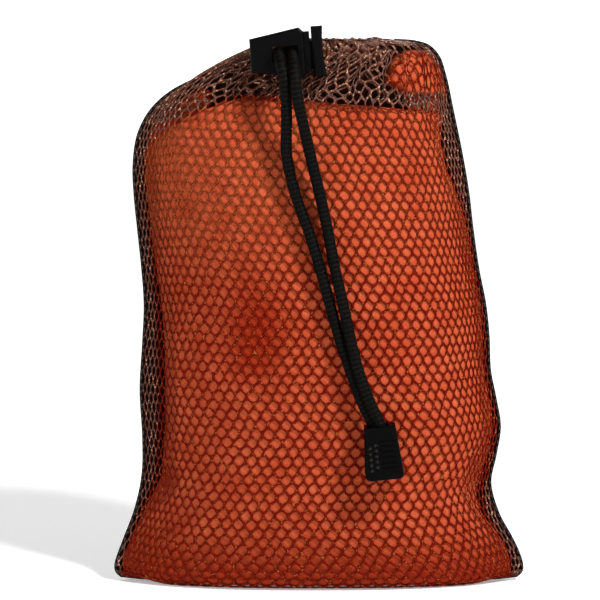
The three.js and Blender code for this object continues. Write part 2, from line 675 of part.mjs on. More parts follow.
// ---------------------------------------------------------------- assembly
addPiece(sack, "front_net", panel(-1), NET);
addPiece(sack, "back_cloth", panel(1), BACK_CLOTH);
addPiece(sack, "left_seam", binding(LEFT_SEAM_STEPS, leftInset), BINDING);
addPiece(sack, "right_seam", binding(RIGHT_SEAM_STEPS, rightInset), BINDING);
addPiece(sack, "bottom_seam", binding(BOTTOM_SEAM_STEPS, bottomInset), BINDING);
addPiece(sack, "mouth_casing", mouthCasing(), NET);
addPiece(sack, "towel", towel(), TOWEL);
addPiece(sack, "drawcord_loop", drawcordLoop(), CORD);
addPiece(sack, "tail_left", tail(LEFT_TAIL), CORD);
addPiece(sack, "tail_right", tail(RIGHT_TAIL), CORD);
addPiece(lock, "lock_body", lockBody(), LOCK_PLASTIC);
addPiece(lock, "lock_plunger", lockPlunger(), LOCK_PLASTIC);
addPiece(lock, "lock_spring", lockSpring(), STEEL);
addPiece(cordEnd, "cord_end_front", cordEndFront(), LOCK_PLASTIC);
addPiece(cordEnd, "cord_end_back", cordEndBack(), LOCK_PLASTIC);
addPiece(cordEnd, "tail_knot", tailKnot(), CORD);

export default sack;
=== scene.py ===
"""Looks of a net drawstring stuff sack, packed with a folded towel. Metres, +Z up, front faces -Y."""
import math

import bmesh
import bpy
import numpy as np
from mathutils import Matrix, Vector
from mathutils.bvhtree import BVHTree


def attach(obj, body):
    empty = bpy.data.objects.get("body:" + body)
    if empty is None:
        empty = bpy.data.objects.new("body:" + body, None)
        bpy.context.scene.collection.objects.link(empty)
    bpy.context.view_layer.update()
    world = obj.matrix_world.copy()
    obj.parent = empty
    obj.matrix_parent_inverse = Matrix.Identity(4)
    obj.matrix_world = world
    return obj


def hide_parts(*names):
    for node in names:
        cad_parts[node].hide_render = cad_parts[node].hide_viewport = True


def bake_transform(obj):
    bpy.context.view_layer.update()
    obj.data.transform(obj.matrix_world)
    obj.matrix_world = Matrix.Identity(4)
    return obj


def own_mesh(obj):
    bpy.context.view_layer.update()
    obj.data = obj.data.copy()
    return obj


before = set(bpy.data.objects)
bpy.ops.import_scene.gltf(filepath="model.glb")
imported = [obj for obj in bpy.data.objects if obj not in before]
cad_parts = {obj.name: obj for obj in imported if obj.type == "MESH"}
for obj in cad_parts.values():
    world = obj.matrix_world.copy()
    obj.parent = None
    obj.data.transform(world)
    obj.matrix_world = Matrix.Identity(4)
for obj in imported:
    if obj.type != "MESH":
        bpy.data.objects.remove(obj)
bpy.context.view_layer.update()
scene = bpy.context.scene
MM = 0.001
TURN = 2 * math.pi
SAME_POINT = 1e-6


def add_object(name, data):
    made = bpy.data.objects.new(name, data)
    scene.collection.objects.link(made)
    return made


# ------------ camera
VIEW_TARGET = Vector((-6.65 * MM, 0.0, 99.6 * MM))
VIEW_DISTANCE = 1.0
VIEW_ELEVATION = math.radians(6)
VIEW_WIDTH = 0.210
SENSOR = 36.0


def make_camera():
    data = bpy.data.cameras.new("camera")
    data.sensor_width = SENSOR
    data.lens = SENSOR * VIEW_DISTANCE / VIEW_WIDTH
    camera = add_object("camera", data)
    back = Vector((0, -math.cos(VIEW_ELEVATION), math.sin(VIEW_ELEVATION)))
    camera.location = VIEW_TARGET + back * VIEW_DISTANCE
    camera.rotation_euler = (-back).to_track_quat("-Z", "Y").to_euler()
    scene.camera = camera


# ------------ curves and meshes
def spline(points, per_span=24):
    """Points along a smooth curve (centripetal Catmull-Rom) through the given points."""
    p = np.array(points, float)
    p = np.vstack([2 * p[0] - p[1], p, 2 * p[-1] - p[-2]])
    out = []
    for k in range(1, len(p) - 2):
        d0, d1, d2 = (np.linalg.norm(p[k + i] - p[k + i - 1]) ** 0.5 for i in range(3))
        t1 = (p[k] - p[k - 1]) / d0 - (p[k + 1] - p[k - 1]) / (d0 + d1) + (p[k + 1] - p[k]) / d1
        t2 = (p[k + 1] - p[k]) / d1 - (p[k + 2] - p[k]) / (d1 + d2) + (p[k + 2] - p[k + 1]) / d2
        t = np.linspace(0, 1, per_span, endpoint=False)[:, None]
        start = (2 * t**3 - 3 * t**2 + 1) * p[k] + (t**3 - 2 * t**2 + t) * t1 * d1
        end = (-2 * t**3 + 3 * t**2) * p[k + 1] + (t**3 - t**2) * t2 * d1
        out.append(start + end)
    out.append(p[-2][None, :])
    return np.vstack(out)


def lengths_along(points):
    steps = np.linalg.norm(np.diff(points, axis=0), axis=1)
    return np.concatenate([[0.0], np.cumsum(steps)])


def unit(vectors):
    return vectors / np.maximum(np.linalg.norm(vectors, axis=-1, keepdims=True), 1e-12)


def right_of(steps):
    """Unit vectors to the right of steps in a plane."""
    steps = unit(steps)
    return np.stack([steps[:, 1], -steps[:, 0]], axis=1)


def even_points(points, count):
    """The same curve with evenly spaced points."""
    along = lengths_along(points)
    wanted = np.linspace(0, along[-1], count)
    return np.stack([np.interp(wanted, along, points[:, k]) for k in range(points.shape[1])], axis=1)


def smooth(low, high, value):
    t = np.clip((value - low) / (high - low), 0, 1)
    return t * t * (3 - 2 * t)


def mix(a, b, share):
    return a + (b - a) * share


def look_up(curve, value):
    """The second number of a curve's points, at a value of the first."""
    return np.interp(value, curve[:, 0], curve[:, 1])


def as_points(x, y, z):
    return np.stack([x, y, z], axis=-1).reshape(-1, 3)


def make_mesh(name, points, faces, material):
    mesh = bpy.data.meshes.new(name)
    mesh.from_pydata([tuple(p) for p in points], [], [tuple(f) for f in faces])
    mesh.validate()
    mesh.shade_smooth()
    mesh.materials.append(material)
    return add_object(name, mesh)


def small_balls(name, spots, subdivisions, shape, material):
    """One ball at each spot; shape turns a point of a unit ball and its spot into the point's place."""
    bm = bmesh.new()
    for spot in spots:
        made = bmesh.ops.create_icosphere(bm, subdivisions=subdivisions, radius=1.0)
        for vertex in made["verts"]:
            vertex.co = shape(vertex.co, spot)
    mesh = bpy.data.meshes.new(name)
    bm.to_mesh(mesh)
    bm.free()
    mesh.shade_smooth()
    mesh.materials.append(material)
    return add_object(name, mesh)


def points_of(mesh):
    return np.array([v.co for v in mesh.vertices])


def store(piece, name, values):
    """Keeps one number for each point, for the piece's material to read."""
    attribute = piece.data.attributes.new(name, "FLOAT", "POINT")
    attribute.data.foreach_set("value", values.ravel().astype(np.float32))


def grid_faces(rows, columns, wrap_rows=False, wrap_columns=False, flip=False):
    faces = []
    for row in range(rows if wrap_rows else rows - 1):
        for column in range(columns if wrap_columns else columns - 1):
            a = row * columns + column
            b = row * columns + (column + 1) % columns
            c = (row + 1) % rows * columns + (column + 1) % columns
            d = (row + 1) % rows * columns + column
            faces.append((a, d, c, b) if flip else (a, b, c, d))
    return faces


def tube_faces(rows, sides):
    """The faces of a tube's rings, and a cap at each end."""
    faces = grid_faces(rows, sides, wrap_columns=True)
    faces.append(tuple(reversed(range(sides))))
    faces.append(tuple(range((rows - 1) * sides, rows * sides)))
    return faces


def face_outward(piece):
    bm = bmesh.new()
    bm.from_mesh(piece.data)
    bmesh.ops.remove_doubles(bm, verts=bm.verts, dist=SAME_POINT)
    bmesh.ops.recalc_face_normals(bm, faces=bm.faces)
    bm.to_mesh(piece.data)
    bm.free()


def apply_modifiers(piece):
    bpy.context.view_layer.update()
    evaluated = piece.evaluated_get(bpy.context.evaluated_depsgraph_get())
    mesh = bpy.data.meshes.new_from_object(evaluated)
    piece.modifiers.clear()
    piece.data = mesh


def finish_piece(piece, body, slot, *nodes):
    """Gives a piece its body and hides the CAD nodes that it stands for; the slot is not used."""
    if nodes:
        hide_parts(*nodes)
    if body:
        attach(piece, body)
    return piece


# ------------ materials
def linear(red, green, blue):
    """A colour given as it looks on screen, from 0 to 255."""
    return tuple(((c / 255) ** 2.2) for c in (red, green, blue)) + (1.0,)


# Each pair of tones is mixed by a noise.
NET_TONES = (linear(36, 12, 5), linear(108, 58, 38))
# Painted glint: pale flecks on the yarn that stand in for its highlights.
NET_PAINTED_GLINT = linear(200, 146, 114)
# The net where the towel lies behind it, with the towel's red light shining through it and the strands'
# shade painted in, and its painted sheen.
TOWEL_LIGHT_TONES = (linear(72, 8, 1), linear(118, 26, 4))
PAINTED_SHEEN_TONES = (linear(96, 30, 9), linear(158, 90, 52))
# Painted glint on the yarn where the towel lies behind it.
TOWEL_SIDE_PAINTED_GLINT = linear(150, 84, 40)
BACK_TONES = (linear(34, 13, 7), linear(84, 38, 22))
TOWEL_TONES = (linear(154, 52, 28), linear(186, 88, 57))
# Painted shade of the towel, for its hollows, its bottom and the under fold.
TOWEL_PAINTED_SHADE = linear(136, 40, 18)
TOWEL_SHEEN = linear(230, 120, 80)
TAPE_TONES = (linear(7, 5, 4), linear(26, 19, 15))
THREAD_TONES = (linear(22, 16, 13), linear(58, 46, 38))
CORD_TONES = (linear(1, 1, 1), linear(7, 6, 6))
# Painted highlight on the top of each braid stitch.
CORD_PAINTED_HIGHLIGHT = linear(60, 54, 48)
PLASTIC_BLACK = linear(2, 2, 2)
PLASTIC_WORN = linear(10, 10, 10)
# Painted highlight grey of the pips' tips.
PIP_PAINTED_HIGHLIGHT = linear(54, 50, 47)
BACK_WEAVE = 1.1 * MM
# Stitch height from which the painted highlight begins.
HIGHLIGHT_START = 0.8
# Noise values where the painted glints begin and where they are full.
GLINT_START = 0.6
GLINT_FULL = 0.72


class Shader:
    """A Principled material with helpers for its procedural nodes, all in object coordinates."""

    def __init__(self, name, colour, roughness, **sockets):
        self.material = bpy.data.materials.new(name)
        self.material.use_nodes = True
        self.tree = self.material.node_tree
        self.surface = self.tree.nodes["Principled BSDF"]
        self.surface.inputs["Base Color"].default_value = colour
        self.surface.inputs["Roughness"].default_value = roughness
        for socket, value in sockets.items():
            self.surface.inputs[socket.replace("_", " ")].default_value = value
        self.place = self.node("ShaderNodeTexCoord").outputs["Object"]

    def node(self, kind, **inputs):
        made = self.tree.nodes.new(kind)
        for name, value in inputs.items():
            self.feed(made.inputs[name.replace("_", " ")], value)
        return made

    def feed(self, socket, value):
        if isinstance(value, bpy.types.NodeSocket):
            self.tree.links.new(value, socket)
        else:
            socket.default_value = value

    def noise(self, scale, detail=3.0, stretch=(1, 1, 1)):
        mapping = self.node("ShaderNodeMapping", Vector=self.place, Scale=stretch)
        made = self.node("ShaderNodeTexNoise", Vector=mapping.outputs[0], Scale=scale, Detail=detail)
        return made.outputs["Fac"]

    def attribute(self, name):
        """The numbers that store() kept under this name."""
        made = self.node("ShaderNodeAttribute")
        made.attribute_name = name
        return made.outputs["Fac"]

    def weave(self, pitch):
        """Plain weave: the product of two crossing waves, a thread every pitch. Blender's wave
        repeats every pi / 10 / scale."""
        scale = math.pi / pitch / 10
        waves = []
        for direction in ("X", "Z"):
            wave = self.node("ShaderNodeTexWave", Vector=self.place, Scale=scale)
            wave.bands_direction = direction
            waves.append(wave.outputs["Fac"])
        return self.math("MULTIPLY", *waves)

    def math(self, operation, a, b):
        made = self.tree.nodes.new("ShaderNodeMath")
        made.operation = operation
        self.feed(made.inputs[0], a)
        self.feed(made.inputs[1], b)
        return made.outputs[0]

    def sum(self, a, a_share, b, b_share):
        return self.math("ADD", self.math("MULTIPLY", a, a_share), self.math("MULTIPLY", b, b_share))

    def ramp(self, value, low, high, start=0.0, full=1.0):
        """low where the value is at start, high where it is full."""
        kind = "ShaderNodeMapRange"
        made = self.node(kind, Value=value, From_Min=start, From_Max=full, To_Min=low, To_Max=high)
        return made.outputs[0]

    def blend(self, factor, a, b):
        made = self.tree.nodes.new("ShaderNodeMix")
        made.data_type = "RGBA"
        self.feed(made.inputs[0], factor)
        self.feed(made.inputs[6], a)
        self.feed(made.inputs[7], b)
        return made.outputs[2]

    def colour(self, factor, a, b):
        self.feed(self.surface.inputs["Base Color"], self.blend(factor, a, b))

    def roughness(self, scale, detail, low, high):
        """Noise of this scale and detail, spread from low to high."""
        self.feed(self.surface.inputs["Roughness"], self.ramp(self.noise(scale, detail), low, high))

    def bump(self, *layers):
        """Each layer is (height, depth in metres)."""
        normal = None
        for height, depth in layers:
            made = self.node("ShaderNodeBump", Height=height, Distance=depth)
            if normal is not None:
                self.feed(made.inputs["Normal"], normal)
            normal = made.outputs[0]
        self.feed(self.surface.inputs["Normal"], normal)


def net_material():
    """Flat knitted yarn: brown over the dark inside; where the towel lies behind it, reddened by the
    towel's painted light and darkened by painted shade.
    """
    shader = Shader("net_yarn", linear(96, 74, 54), 0.42, Specular_IOR_Level=0.35)
    over = shader.attribute("over_towel")
    mottle = shader.ramp(shader.noise(900, 2), -0.2, 1.2)
    # Painted glints: pale flecks of colour that stand in for highlights on the yarn.
    spark = shader.ramp(shader.noise(1300, 1), 0.0, 1.0, GLINT_START, GLINT_FULL)
    bare = shader.blend(spark, shader.blend(mottle, *NET_TONES), NET_PAINTED_GLINT)
    # Painted light of the towel and painted shade of the strands, where the towel lies behind the yarn.
    towel_light = shader.blend(mottle, *TOWEL_LIGHT_TONES)
    # Painted sheen: yarn lightened as if by highlights, in a band across the upper front.
    towel_light = shader.blend(shader.attribute("painted_sheen"), towel_light, shader.blend(mottle, *PAINTED_SHEEN_TONES))
    towel_light = shader.blend(spark, towel_light, TOWEL_SIDE_PAINTED_GLINT)
    shader.colour(over, bare, towel_light)
    shader.feed(shader.surface.inputs["Specular IOR Level"], shader.ramp(over, 0.4, 0.04))
    shader.roughness(1400, 2, 0.25, 0.6)
    shader.bump((shader.noise(5200, 2, (1, 1, 0.35)), 0.00012))
    return shader.material


def back_material():
    shader = Shader("back_nylon", linear(34, 22, 17), 0.62, Sheen_Weight=0.04, Specular_IOR_Level=0.25)
    weave = shader.weave(BACK_WEAVE)
    shader.colour(shader.sum(shader.noise(60, 4), 0.6, weave, 0.5), *BACK_TONES)
    shader.roughness(300, 3, 0.5, 0.72)
    shader.bump((weave, 0.00015), (shader.noise(120, 4), 0.0003))
    return shader.material


def towel_material():
    """Suede microfibre: short pile that mottles the orange, over fine soft creases."""
    shader = Shader(
        "towel_microfibre", linear(222, 86, 44), 0.95,
        Sheen_Weight=0.12, Sheen_Roughness=0.6, Sheen_Tint=TOWEL_SHEEN, Specular_IOR_Level=0.1,
    )
    pile = shader.noise(2600, 3)
    tone = shader.sum(pile, 0.55, shader.noise(110, 4), 0.45)
    bright = shader.blend(shader.ramp(tone, -1.0, 2.0), *TOWEL_TONES)
    # Painted shade darkens the orange in the towel's hollows, near its bottom and on the under fold.
    shader.colour(shader.attribute("painted_shade"), bright, TOWEL_PAINTED_SHADE)
    shader.bump((pile, 0.00018), (shader.noise(420, 4), 0.0003))
    return shader.material


def binding_material():
    shader = Shader("binding_tape", linear(16, 12, 10), 0.8, Specular_IOR_Level=0.1)
    rib = shader.node("ShaderNodeTexWave", Vector=shader.place, Scale=420.0)
    rib.bands_direction = "Z"
    shader.colour(shader.noise(700, 3), *TAPE_TONES)
    shader.bump((rib.outputs["Fac"], 0.00012))
    return shader.material


def thread_material():
    shader = Shader("seam_thread", THREAD_TONES[1], 0.5)
    shader.colour(shader.noise(3000, 2), *THREAD_TONES)
    shader.bump((shader.noise(6000, 2), 0.00006))
    return shader.material


def cord_material():
    """Black braided polyester with painted highlights on top of each stitch; the plait itself is in the
    mesh.
    """
    shader = Shader("cord_braid", linear(10, 10, 11), 0.6, Specular_IOR_Level=0.05)
    # Painted highlights on the raised tops of the stitches.
    top = shader.ramp(shader.attribute("raised"), 0.0, 1.0, HIGHLIGHT_START)
    base = shader.blend(shader.noise(1500, 3), *CORD_TONES)
    shader.colour(top, base, CORD_PAINTED_HIGHLIGHT)
    shader.roughness(2500, 2, 0.4, 0.7)
    shader.bump((shader.noise(7000, 2, (1, 1, 0.3)), 0.00008))
    return shader.material


def plastic_material(name, tint, gloss):
    """Moulded black plastic with a fine spark texture and slightly worn sheen."""
    shader = Shader(name, tint, 0.4, Specular_IOR_Level=gloss)
    wear = shader.noise(260, 5)
    shader.colour(wear, tint, PLASTIC_WORN)
    shader.roughness(500, 4, 0.34, 0.58)
    shader.bump((shader.noise(4200, 2), 0.00004), (wear, 0.00005))
    return shader.material


def steel_material():
    shader = Shader("spring_wire", (0.55, 0.55, 0.56, 1), 0.3, Metallic=1.0)
    shader.roughness(4000, 2, 0.2, 0.4)
    shader.bump((shader.noise(6000, 2), 0.00003))
    return shader.material


NET = net_material()
BACK = back_material()
TOWEL = towel_material()
BINDING = binding_material()
THREAD = thread_material()
CORD = cord_material()
LOCK_PLASTIC = plastic_material("lock_plastic", PLASTIC_BLACK, 0.05)
END_PLASTIC = plastic_material("end_plastic", PLASTIC_BLACK, 0.04)
# The pips' tips are grey as painted highlights.
PIP_HIGHLIGHT_PLASTIC = plastic_material("pip_painted_highlights", PIP_PAINTED_HIGHLIGHT, 0.3)
STEEL = steel_material()


# ------------ cords
CORD_DIAMETER = 4.0 * MM
BRAID_RELIEF = 0.3 * MM
BRAID_SIDES = 40
BRAID_STRANDS = 4
BRAID_STITCH = 3.2 * MM
BRAID_STEP = 0.5 * MM
# The same routes as the CAD tails, from the lock's front face down into the cord end.
LEFT_TAIL = MM * np.array([
    (-13.85, -20.7, 185.9), (-13.8, -22, 185.8), (-13.5, -26, 184.7), (-12.9, -29.1, 181.7),
    (-12, -30, 177.6), (-11.3, -29.7, 172), (-11.2, -28.6, 163), (-11.1, -27.4, 151.5),
    (-7.9, -27.4, 137.5), (-3.3, -28.5, 124.8), (0.7, -29.2, 111.5), (4, -29.4, 99.3), (6.7, -29.5, 90),
    (9.2, -29.6, 82.3), (12.2, -29.8, 73.5), (15.4, -30.5, 65.6), (18.2, -31.1, 60.3),
    (19.1, -31.2, 57), (19.4, -31.2, 54.2),
])
RIGHT_TAIL = MM * np.array([
    (-9.55, -20.7, 185.9), (-9.5, -22, 185.8), (-9.2, -26, 184.8), (-8.7, -29.6, 182.1),
    (-8.2, -31.9, 177.9), (-7.6, -32.3, 172), (-5.7, -30.8, 163), (-3.1, -28.8, 151.5),
    (0.3, -28.2, 137.5), (3, -28.9, 124.8), (5.6, -30, 111.5), (8.4, -31.2, 99.3), (10.4, -32, 90),
    (12.2, -32.6, 82.3), (15, -33.3, 73.5), (18.2, -34.1, 65.6), (20.7, -34.6, 60.3), (21.6, -34.7, 57),
    (21.9, -34.7, 54.2),
])


def path_frames(path):
    """Two unit vectors across the path at each point, turning as little as possible."""
    tangents = unit(np.gradient(path, axis=0))
    across = np.cross(tangents[0], (0.0, 0.0, 1.0))
    if np.linalg.norm(across) < 0.1:
        across = np.cross(tangents[0], (1.0, 0.0, 0.0))
    firsts = []
    for tangent in tangents:
        across = across - tangent * across.dot(tangent)
        across /= np.linalg.norm(across)
        firsts.append(across)
    firsts = np.array(firsts)
    return firsts, np.cross(tangents, firsts)


def tube_points(path, sides, radius):
    """Rings of points round a path; radius is one number or one for each point."""
    firsts, seconds = path_frames(path)
    angle = np.linspace(0, TURN, sides, endpoint=False)[None, :, None]
    ring = firsts[:, None, :] * np.cos(angle) + seconds[:, None, :] * np.sin(angle)
    return (path[:, None, :] + ring * radius).reshape(-1, 3)


def braided_tube(name, path, diameter, material):
    """A closed tube whose surface has the staggered stitches of a round braid."""
    path = even_points(path, int(lengths_along(path)[-1] / BRAID_STEP))
    angle = np.linspace(0, TURN, BRAID_SIDES, endpoint=False)[None, :]
    along = lengths_along(path)[:, None]
    turn = along * TURN / BRAID_STITCH
    stitches = np.cos(2 * BRAID_STRANDS * angle) * np.cos(turn)
    raised = np.sqrt(np.abs(stitches))
    radius = diameter / 2 - BRAID_RELIEF + BRAID_RELIEF * raised
    points = tube_points(path, BRAID_SIDES, radius[:, :, None])
    piece = make_mesh(name, points, tube_faces(len(path), BRAID_SIDES), material)
    store(piece, "raised", raised)
    face_outward(piece)
    return piece


def make_tail(name, node, route):
    path = spline(route)
    piece = braided_tube(name, path, CORD_DIAMETER, CORD)
    finish_piece(piece, None, "cord", node)
    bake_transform(piece)


make_camera()
make_tail("drawcord_tail_left", "tail_left", LEFT_TAIL)
make_tail("drawcord_tail_right", "tail_right", RIGHT_TAIL)

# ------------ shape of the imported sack
MOUTH_Z = 190.4 * MM
HEM_Y = 1.6 * MM
BASE_SHARE = 0.07
BASE_EDGE = 1.2 * MM
SEAM_OPENING = 0.5 * MM
BASE_CLIMB = 0.12
# Share of the height where the gathered mouth begins.
MOUTH_START = 0.86
# How flat the middle is across the sack, at its body and at its mouth.
BODY_FLATNESS = 2.6
MOUTH_FLATNESS = 6.0
SEAM_FULLNESS = 0.85
# Share of the width over which the heights of a seam give way to those of the middle.
BODY_SHOULDER = 0.16
MOUTH_SHOULDER = 0.06
SEAM_INSET = 0.65 * MM
LEFT_OUTLINE = MM * spline([
    (-70, 1.2), (-71.9, 3), (-72.3, 5.5), (-71.2, 9.5), (-69.3, 14.5), (-65, 26), (-62.5, 38),
    (-62.2, 51), (-63, 68), (-62, 85), (-61.4, 98), (-62.2, 111), (-63.6, 125), (-64.8, 138),
    (-65, 147), (-63.4, 157.5), (-59, 166), (-52, 172.5), (-40.6, 178.3), (-30, 182.8), (-20.5, 186.6),
])
RIGHT_OUTLINE = MM * spline([
    (70, 1.2), (71.9, 3), (72.3, 5.5), (71, 10), (68.4, 15.5), (63.8, 24), (60.8, 35), (62.6, 45),
    (64, 55), (62.4, 65), (60.4, 75), (59.8, 87), (58.6, 98), (56, 111), (53.9, 125), (52.3, 138),
    (49.8, 152), (46.8, 166), (44.2, 178), (41.8, 184.8), (38.2, 188.6), (33, 190.2), (26, 190.7),
])
PROFILE = MM * spline([
    (13, 0), (18, 1.5), (21.4, 5.5), (23.4, 12), (25, 25), (26.4, 45), (27, 66), (26.6, 90),
    (25.6, 115), (24, 135), (21.6, 150), (18.3, 161), (14.8, 169.5), (12, 176), (10.4, 182),
    (9.9, 187), (9.7, 190.4),
])


def inset(curve, distance, side):
    """The curve moved towards the inside of the sack; side is +1 on the left and -1 on the right."""
    return curve + side * distance * right_of(np.gradient(curve, axis=0))


def rising(curve):
    """The curve's x as a function of its height, as two arrays for np.interp."""
    height = np.maximum.accumulate(curve[:, 1]) + np.arange(len(curve)) * 1e-9
    return height, curve[:, 0]


LEFT_HEIGHTS, LEFT_X = rising(inset(LEFT_OUTLINE, SEAM_INSET, 1))
RIGHT_HEIGHTS, RIGHT_X = rising(inset(RIGHT_OUTLINE, SEAM_INSET, -1))
BASE_POINTS = int(np.argmax(PROFILE[:, 0]))
PROFILE_SHARE = BASE_SHARE + (1 - BASE_SHARE) * lengths_along(PROFILE) / lengths_along(PROFILE)[-1]


def depth_at(v):
    base = mix(BASE_EDGE, PROFILE[0, 0], v / BASE_SHARE)
    return np.where(v < BASE_SHARE, base, np.interp(v, PROFILE_SHARE, PROFILE[:, 0]))


def crown(u, v=0.0):
    """How full the sack is across its width: 0 at the seams and 1 in the middle."""
    flatness = mix(BODY_FLATNESS, MOUTH_FLATNESS, smooth(MOUTH_START, 1.0, v))
    return (1 - np.abs(2 * u - 1) ** flatness).clip(0, 1) ** SEAM_FULLNESS


def panel_surface(u, v, side):
    """x, y and z of a panel: u from the left seam to the right, v from the bottom seam to the mouth."""
    height = np.where(v < BASE_SHARE, 0.0, np.interp(v, PROFILE_SHARE, PROFILE[:, 1]))
    climb = np.maximum(height / MOUTH_Z, v * BASE_CLIMB)
    left_z = mix(LEFT_HEIGHTS[0], LEFT_HEIGHTS[-1], climb)
    right_z = mix(RIGHT_HEIGHTS[0], RIGHT_HEIGHTS[-1], climb)
    left_x = np.interp(left_z, LEFT_HEIGHTS, LEFT_X)
    right_x = np.interp(right_z, RIGHT_HEIGHTS, RIGHT_X)
    shoulder = mix(BODY_SHOULDER, MOUTH_SHOULDER, smooth(0.85, 0.98, v))
    middle = smooth(0, shoulder, u) * smooth(0, shoulder, 1 - u)
    opening = mix(BASE_EDGE, SEAM_OPENING, smooth(0, 0.1, v))
    bulge = opening + np.maximum(depth_at(v) - opening, 0) * crown(u, v)
    shift = HEM_Y * smooth(0.8, 1, v) * crown(u, v)
    return mix(left_x, right_x, u), side * bulge + shift, mix(mix(left_z, right_z, u), height, middle)


def share_across(x, z):
    left_x = np.interp(z, LEFT_HEIGHTS, LEFT_X)
    right_x = np.interp(z, RIGHT_HEIGHTS, RIGHT_X)
    return ((x - left_x) / (right_x - left_x)).clip(0, 1)


def depth_in_place(x, z):
    """Depth of the sack's smooth front at a place seen from the front."""
    v = np.interp(z, PROFILE[:, 1], PROFILE_SHARE)
    return depth_at(v) * crown(share_across(x, z))


# ------------ towel
# The folded towel seen from the front: x and z along its top and corners, z and x along its sides.
TOWEL_TOP = MM * np.array([
    (-62, 152), (-56, 157), (-50, 162), (-44, 166), (-38, 168.3), (-30, 171.5), (-19, 172),
    (-3, 169.8), (10, 168.8), (22, 168.2), (34, 167), (46, 165),
])
TOWEL_LEFT = MM * np.array([
    (0, -70), (8, -69.5), (15, -67), (27, -62.5), (38, -58), (60, -56.8), (80, -56.8), (98, -57.5),
    (125, -60), (145, -61.5), (158, -59), (172, -52),
])
TOWEL_RIGHT = MM * np.array([
    (0, 69), (9, 67.8), (16, 64.6), (24, 59.6), (32, 58), (37, 59.8), (45, 61.8), (55, 63.3), (65, 61.7),
    (75, 59.7), (87, 59.1), (98, 57.9), (111, 55.3), (126, 52.7), (134, 50.3), (139, 48), (147, 45.2),
    (156, 43), (168, 41.5),
])
TOWEL_CORNER = MM * np.array([
    (22.5, 176), (25, 184), (31, 187.2), (38, 186), (42.4, 180), (44, 171), (42, 160), (33, 160),
    (29, 171),
])
TOWEL_UNDER = MM * np.array([
    (-61, 148), (-59, 158), (-53, 166), (-46, 171), (-39, 173.5), (-37, 169), (-42, 162), (-52, 150),
])
TOWEL_CLEARANCE = 1.5 * MM
TOWEL_FOOT = 0.5 * MM
THINNEST = 0.6 * MM
CORNER_LIFT = 2.4 * MM
BASE_LOW = 3.0 * MM
BASE_HIGH = 8.0 * MM
CORNER_RECESS = 0.06
CORNER_NECK_Z = 172.0 * MM
NECK_LOW = 170.0 * MM
NECK_HIGH = 172.5 * MM
SIDE_SHARPNESS = 2.5
TOP_SHARPNESS = 2.6
BASE_SHARPNESS = 6.0
UNDER_RECESS = 0.3
FOLD_RADIUS = 4.5 * MM
CORNER_RADIUS = 4.0 * MM
TOP_LEFT_X = -58.0 * MM
TOP_RIGHT_X = 46.0 * MM
EDGE_CLOSENESS = 0.6
# Points across and up a fold, or round it and outwards.
MAIN_GRID = (40, 50)
SMALL_GRID = (72, 16)
SIM_PRESSURE = 4.0
SIM_FRAMES = 20
SIM_REACH = 2.5 * MM
SIM_SIDE_SHARE = 0.2


def towel_margin(x, z):
    """Distance inside the main fold's outline, negative outside it."""
    left = look_up(TOWEL_LEFT, z)
    right = look_up(TOWEL_RIGHT, z)
    top = look_up(TOWEL_TOP, x)
    sides = np.minimum(x - left, right - x) * mix(SIDE_SHARPNESS, 1.0, smooth(0.005, 0.045, z))
    return np.minimum(sides, np.minimum((top - z) * TOP_SHARPNESS, (z - TOWEL_FOOT) * BASE_SHARPNESS))


def corner_margin(x, z):
    """Distance inside the raised corner's outline, negative outside it and over its neck."""
    nearest = np.full(np.shape(x), np.inf)
    inside = np.zeros(np.shape(x), bool)
    for (ax, az), (bx, bz) in zip(TOWEL_CORNER, np.roll(TOWEL_CORNER, -1, axis=0)):
        share = ((x - ax) * (bx - ax) + (z - az) * (bz - az)) / ((bx - ax) ** 2 + (bz - az) ** 2)
        share = np.clip(share, 0, 1)
        nearest = np.minimum(nearest, np.hypot(x - mix(ax, bx, share), z - mix(az, bz, share)))
        crosses = (az > z) != (bz > z)
        slope = (bx - ax) / (bz - az) if bz != az else 0.0
        inside ^= crosses & (x < ax + (z - az) * slope)
    return np.minimum(np.where(inside, nearest, -nearest), z - CORNER_NECK_Z)


def fold_round(margin, radius):
    """1 inside, falling to 0 at the edge like a rounded fold."""
    return np.sqrt(np.clip(1 - (1 - np.clip(margin / radius, 0, 1)) ** 2, 0, 1))


WAVE_DEPTH = 0.55 * MM
CREASE_DEPTH = 1.3 * MM
DENT_DEPTH = 2.4 * MM
CREASED_CORNER_DEPTH = 1.4 * MM
CREASE_X = -56.5 * MM
CREASE_WIDTH = 2.2 * MM
CREASE_LEAN = 0.05
# Middle and size, across and up, of the dent and of the creased lower left corner.
DENT = MM * np.array([(-21, 86), (13, 19)])
CREASED_CORNER = MM * np.array([(-50, 24), (16, 20)])


def hump(x, z, spot):
    """1 in the middle of the spot, falling away over its size."""
    (middle_x, middle_z), (width, height) = spot
    return np.exp(-(((x - middle_x) / width) ** 2) - (((z - middle_z) / height) ** 2))


def ripple(x, z):
    """Soft waves and dents of the towel's front, in metres of depth."""
    # The numbers inside the sines are radians for each metre.
    waves = 0.5 * np.sin(x * 95 + 2.2 * np.sin(z * 40)) + 0.4 * np.sin(z * 70 + x * 60 + 1.0)
    away = x - CREASE_X + CREASE_LEAN * (z - 0.1)
    crease = np.exp(-((away / CREASE_WIDTH) ** 2)) * smooth(0.01, 0.05, z)
    creases = np.sin((x + 0.058) * 260 - z * 330) * hump(x, z, CREASED_CORNER)
    return (
        WAVE_DEPTH * waves + CREASE_DEPTH * crease + DENT_DEPTH * hump(x, z, DENT)
        + CREASED_CORNER_DEPTH * creases
    )


def corner_recess(z):
    """The neck of the raised corner lies further back, behind the top of the main fold."""
    return mix(CORNER_RECESS, 1.0, smooth(NECK_LOW, NECK_HIGH, z))


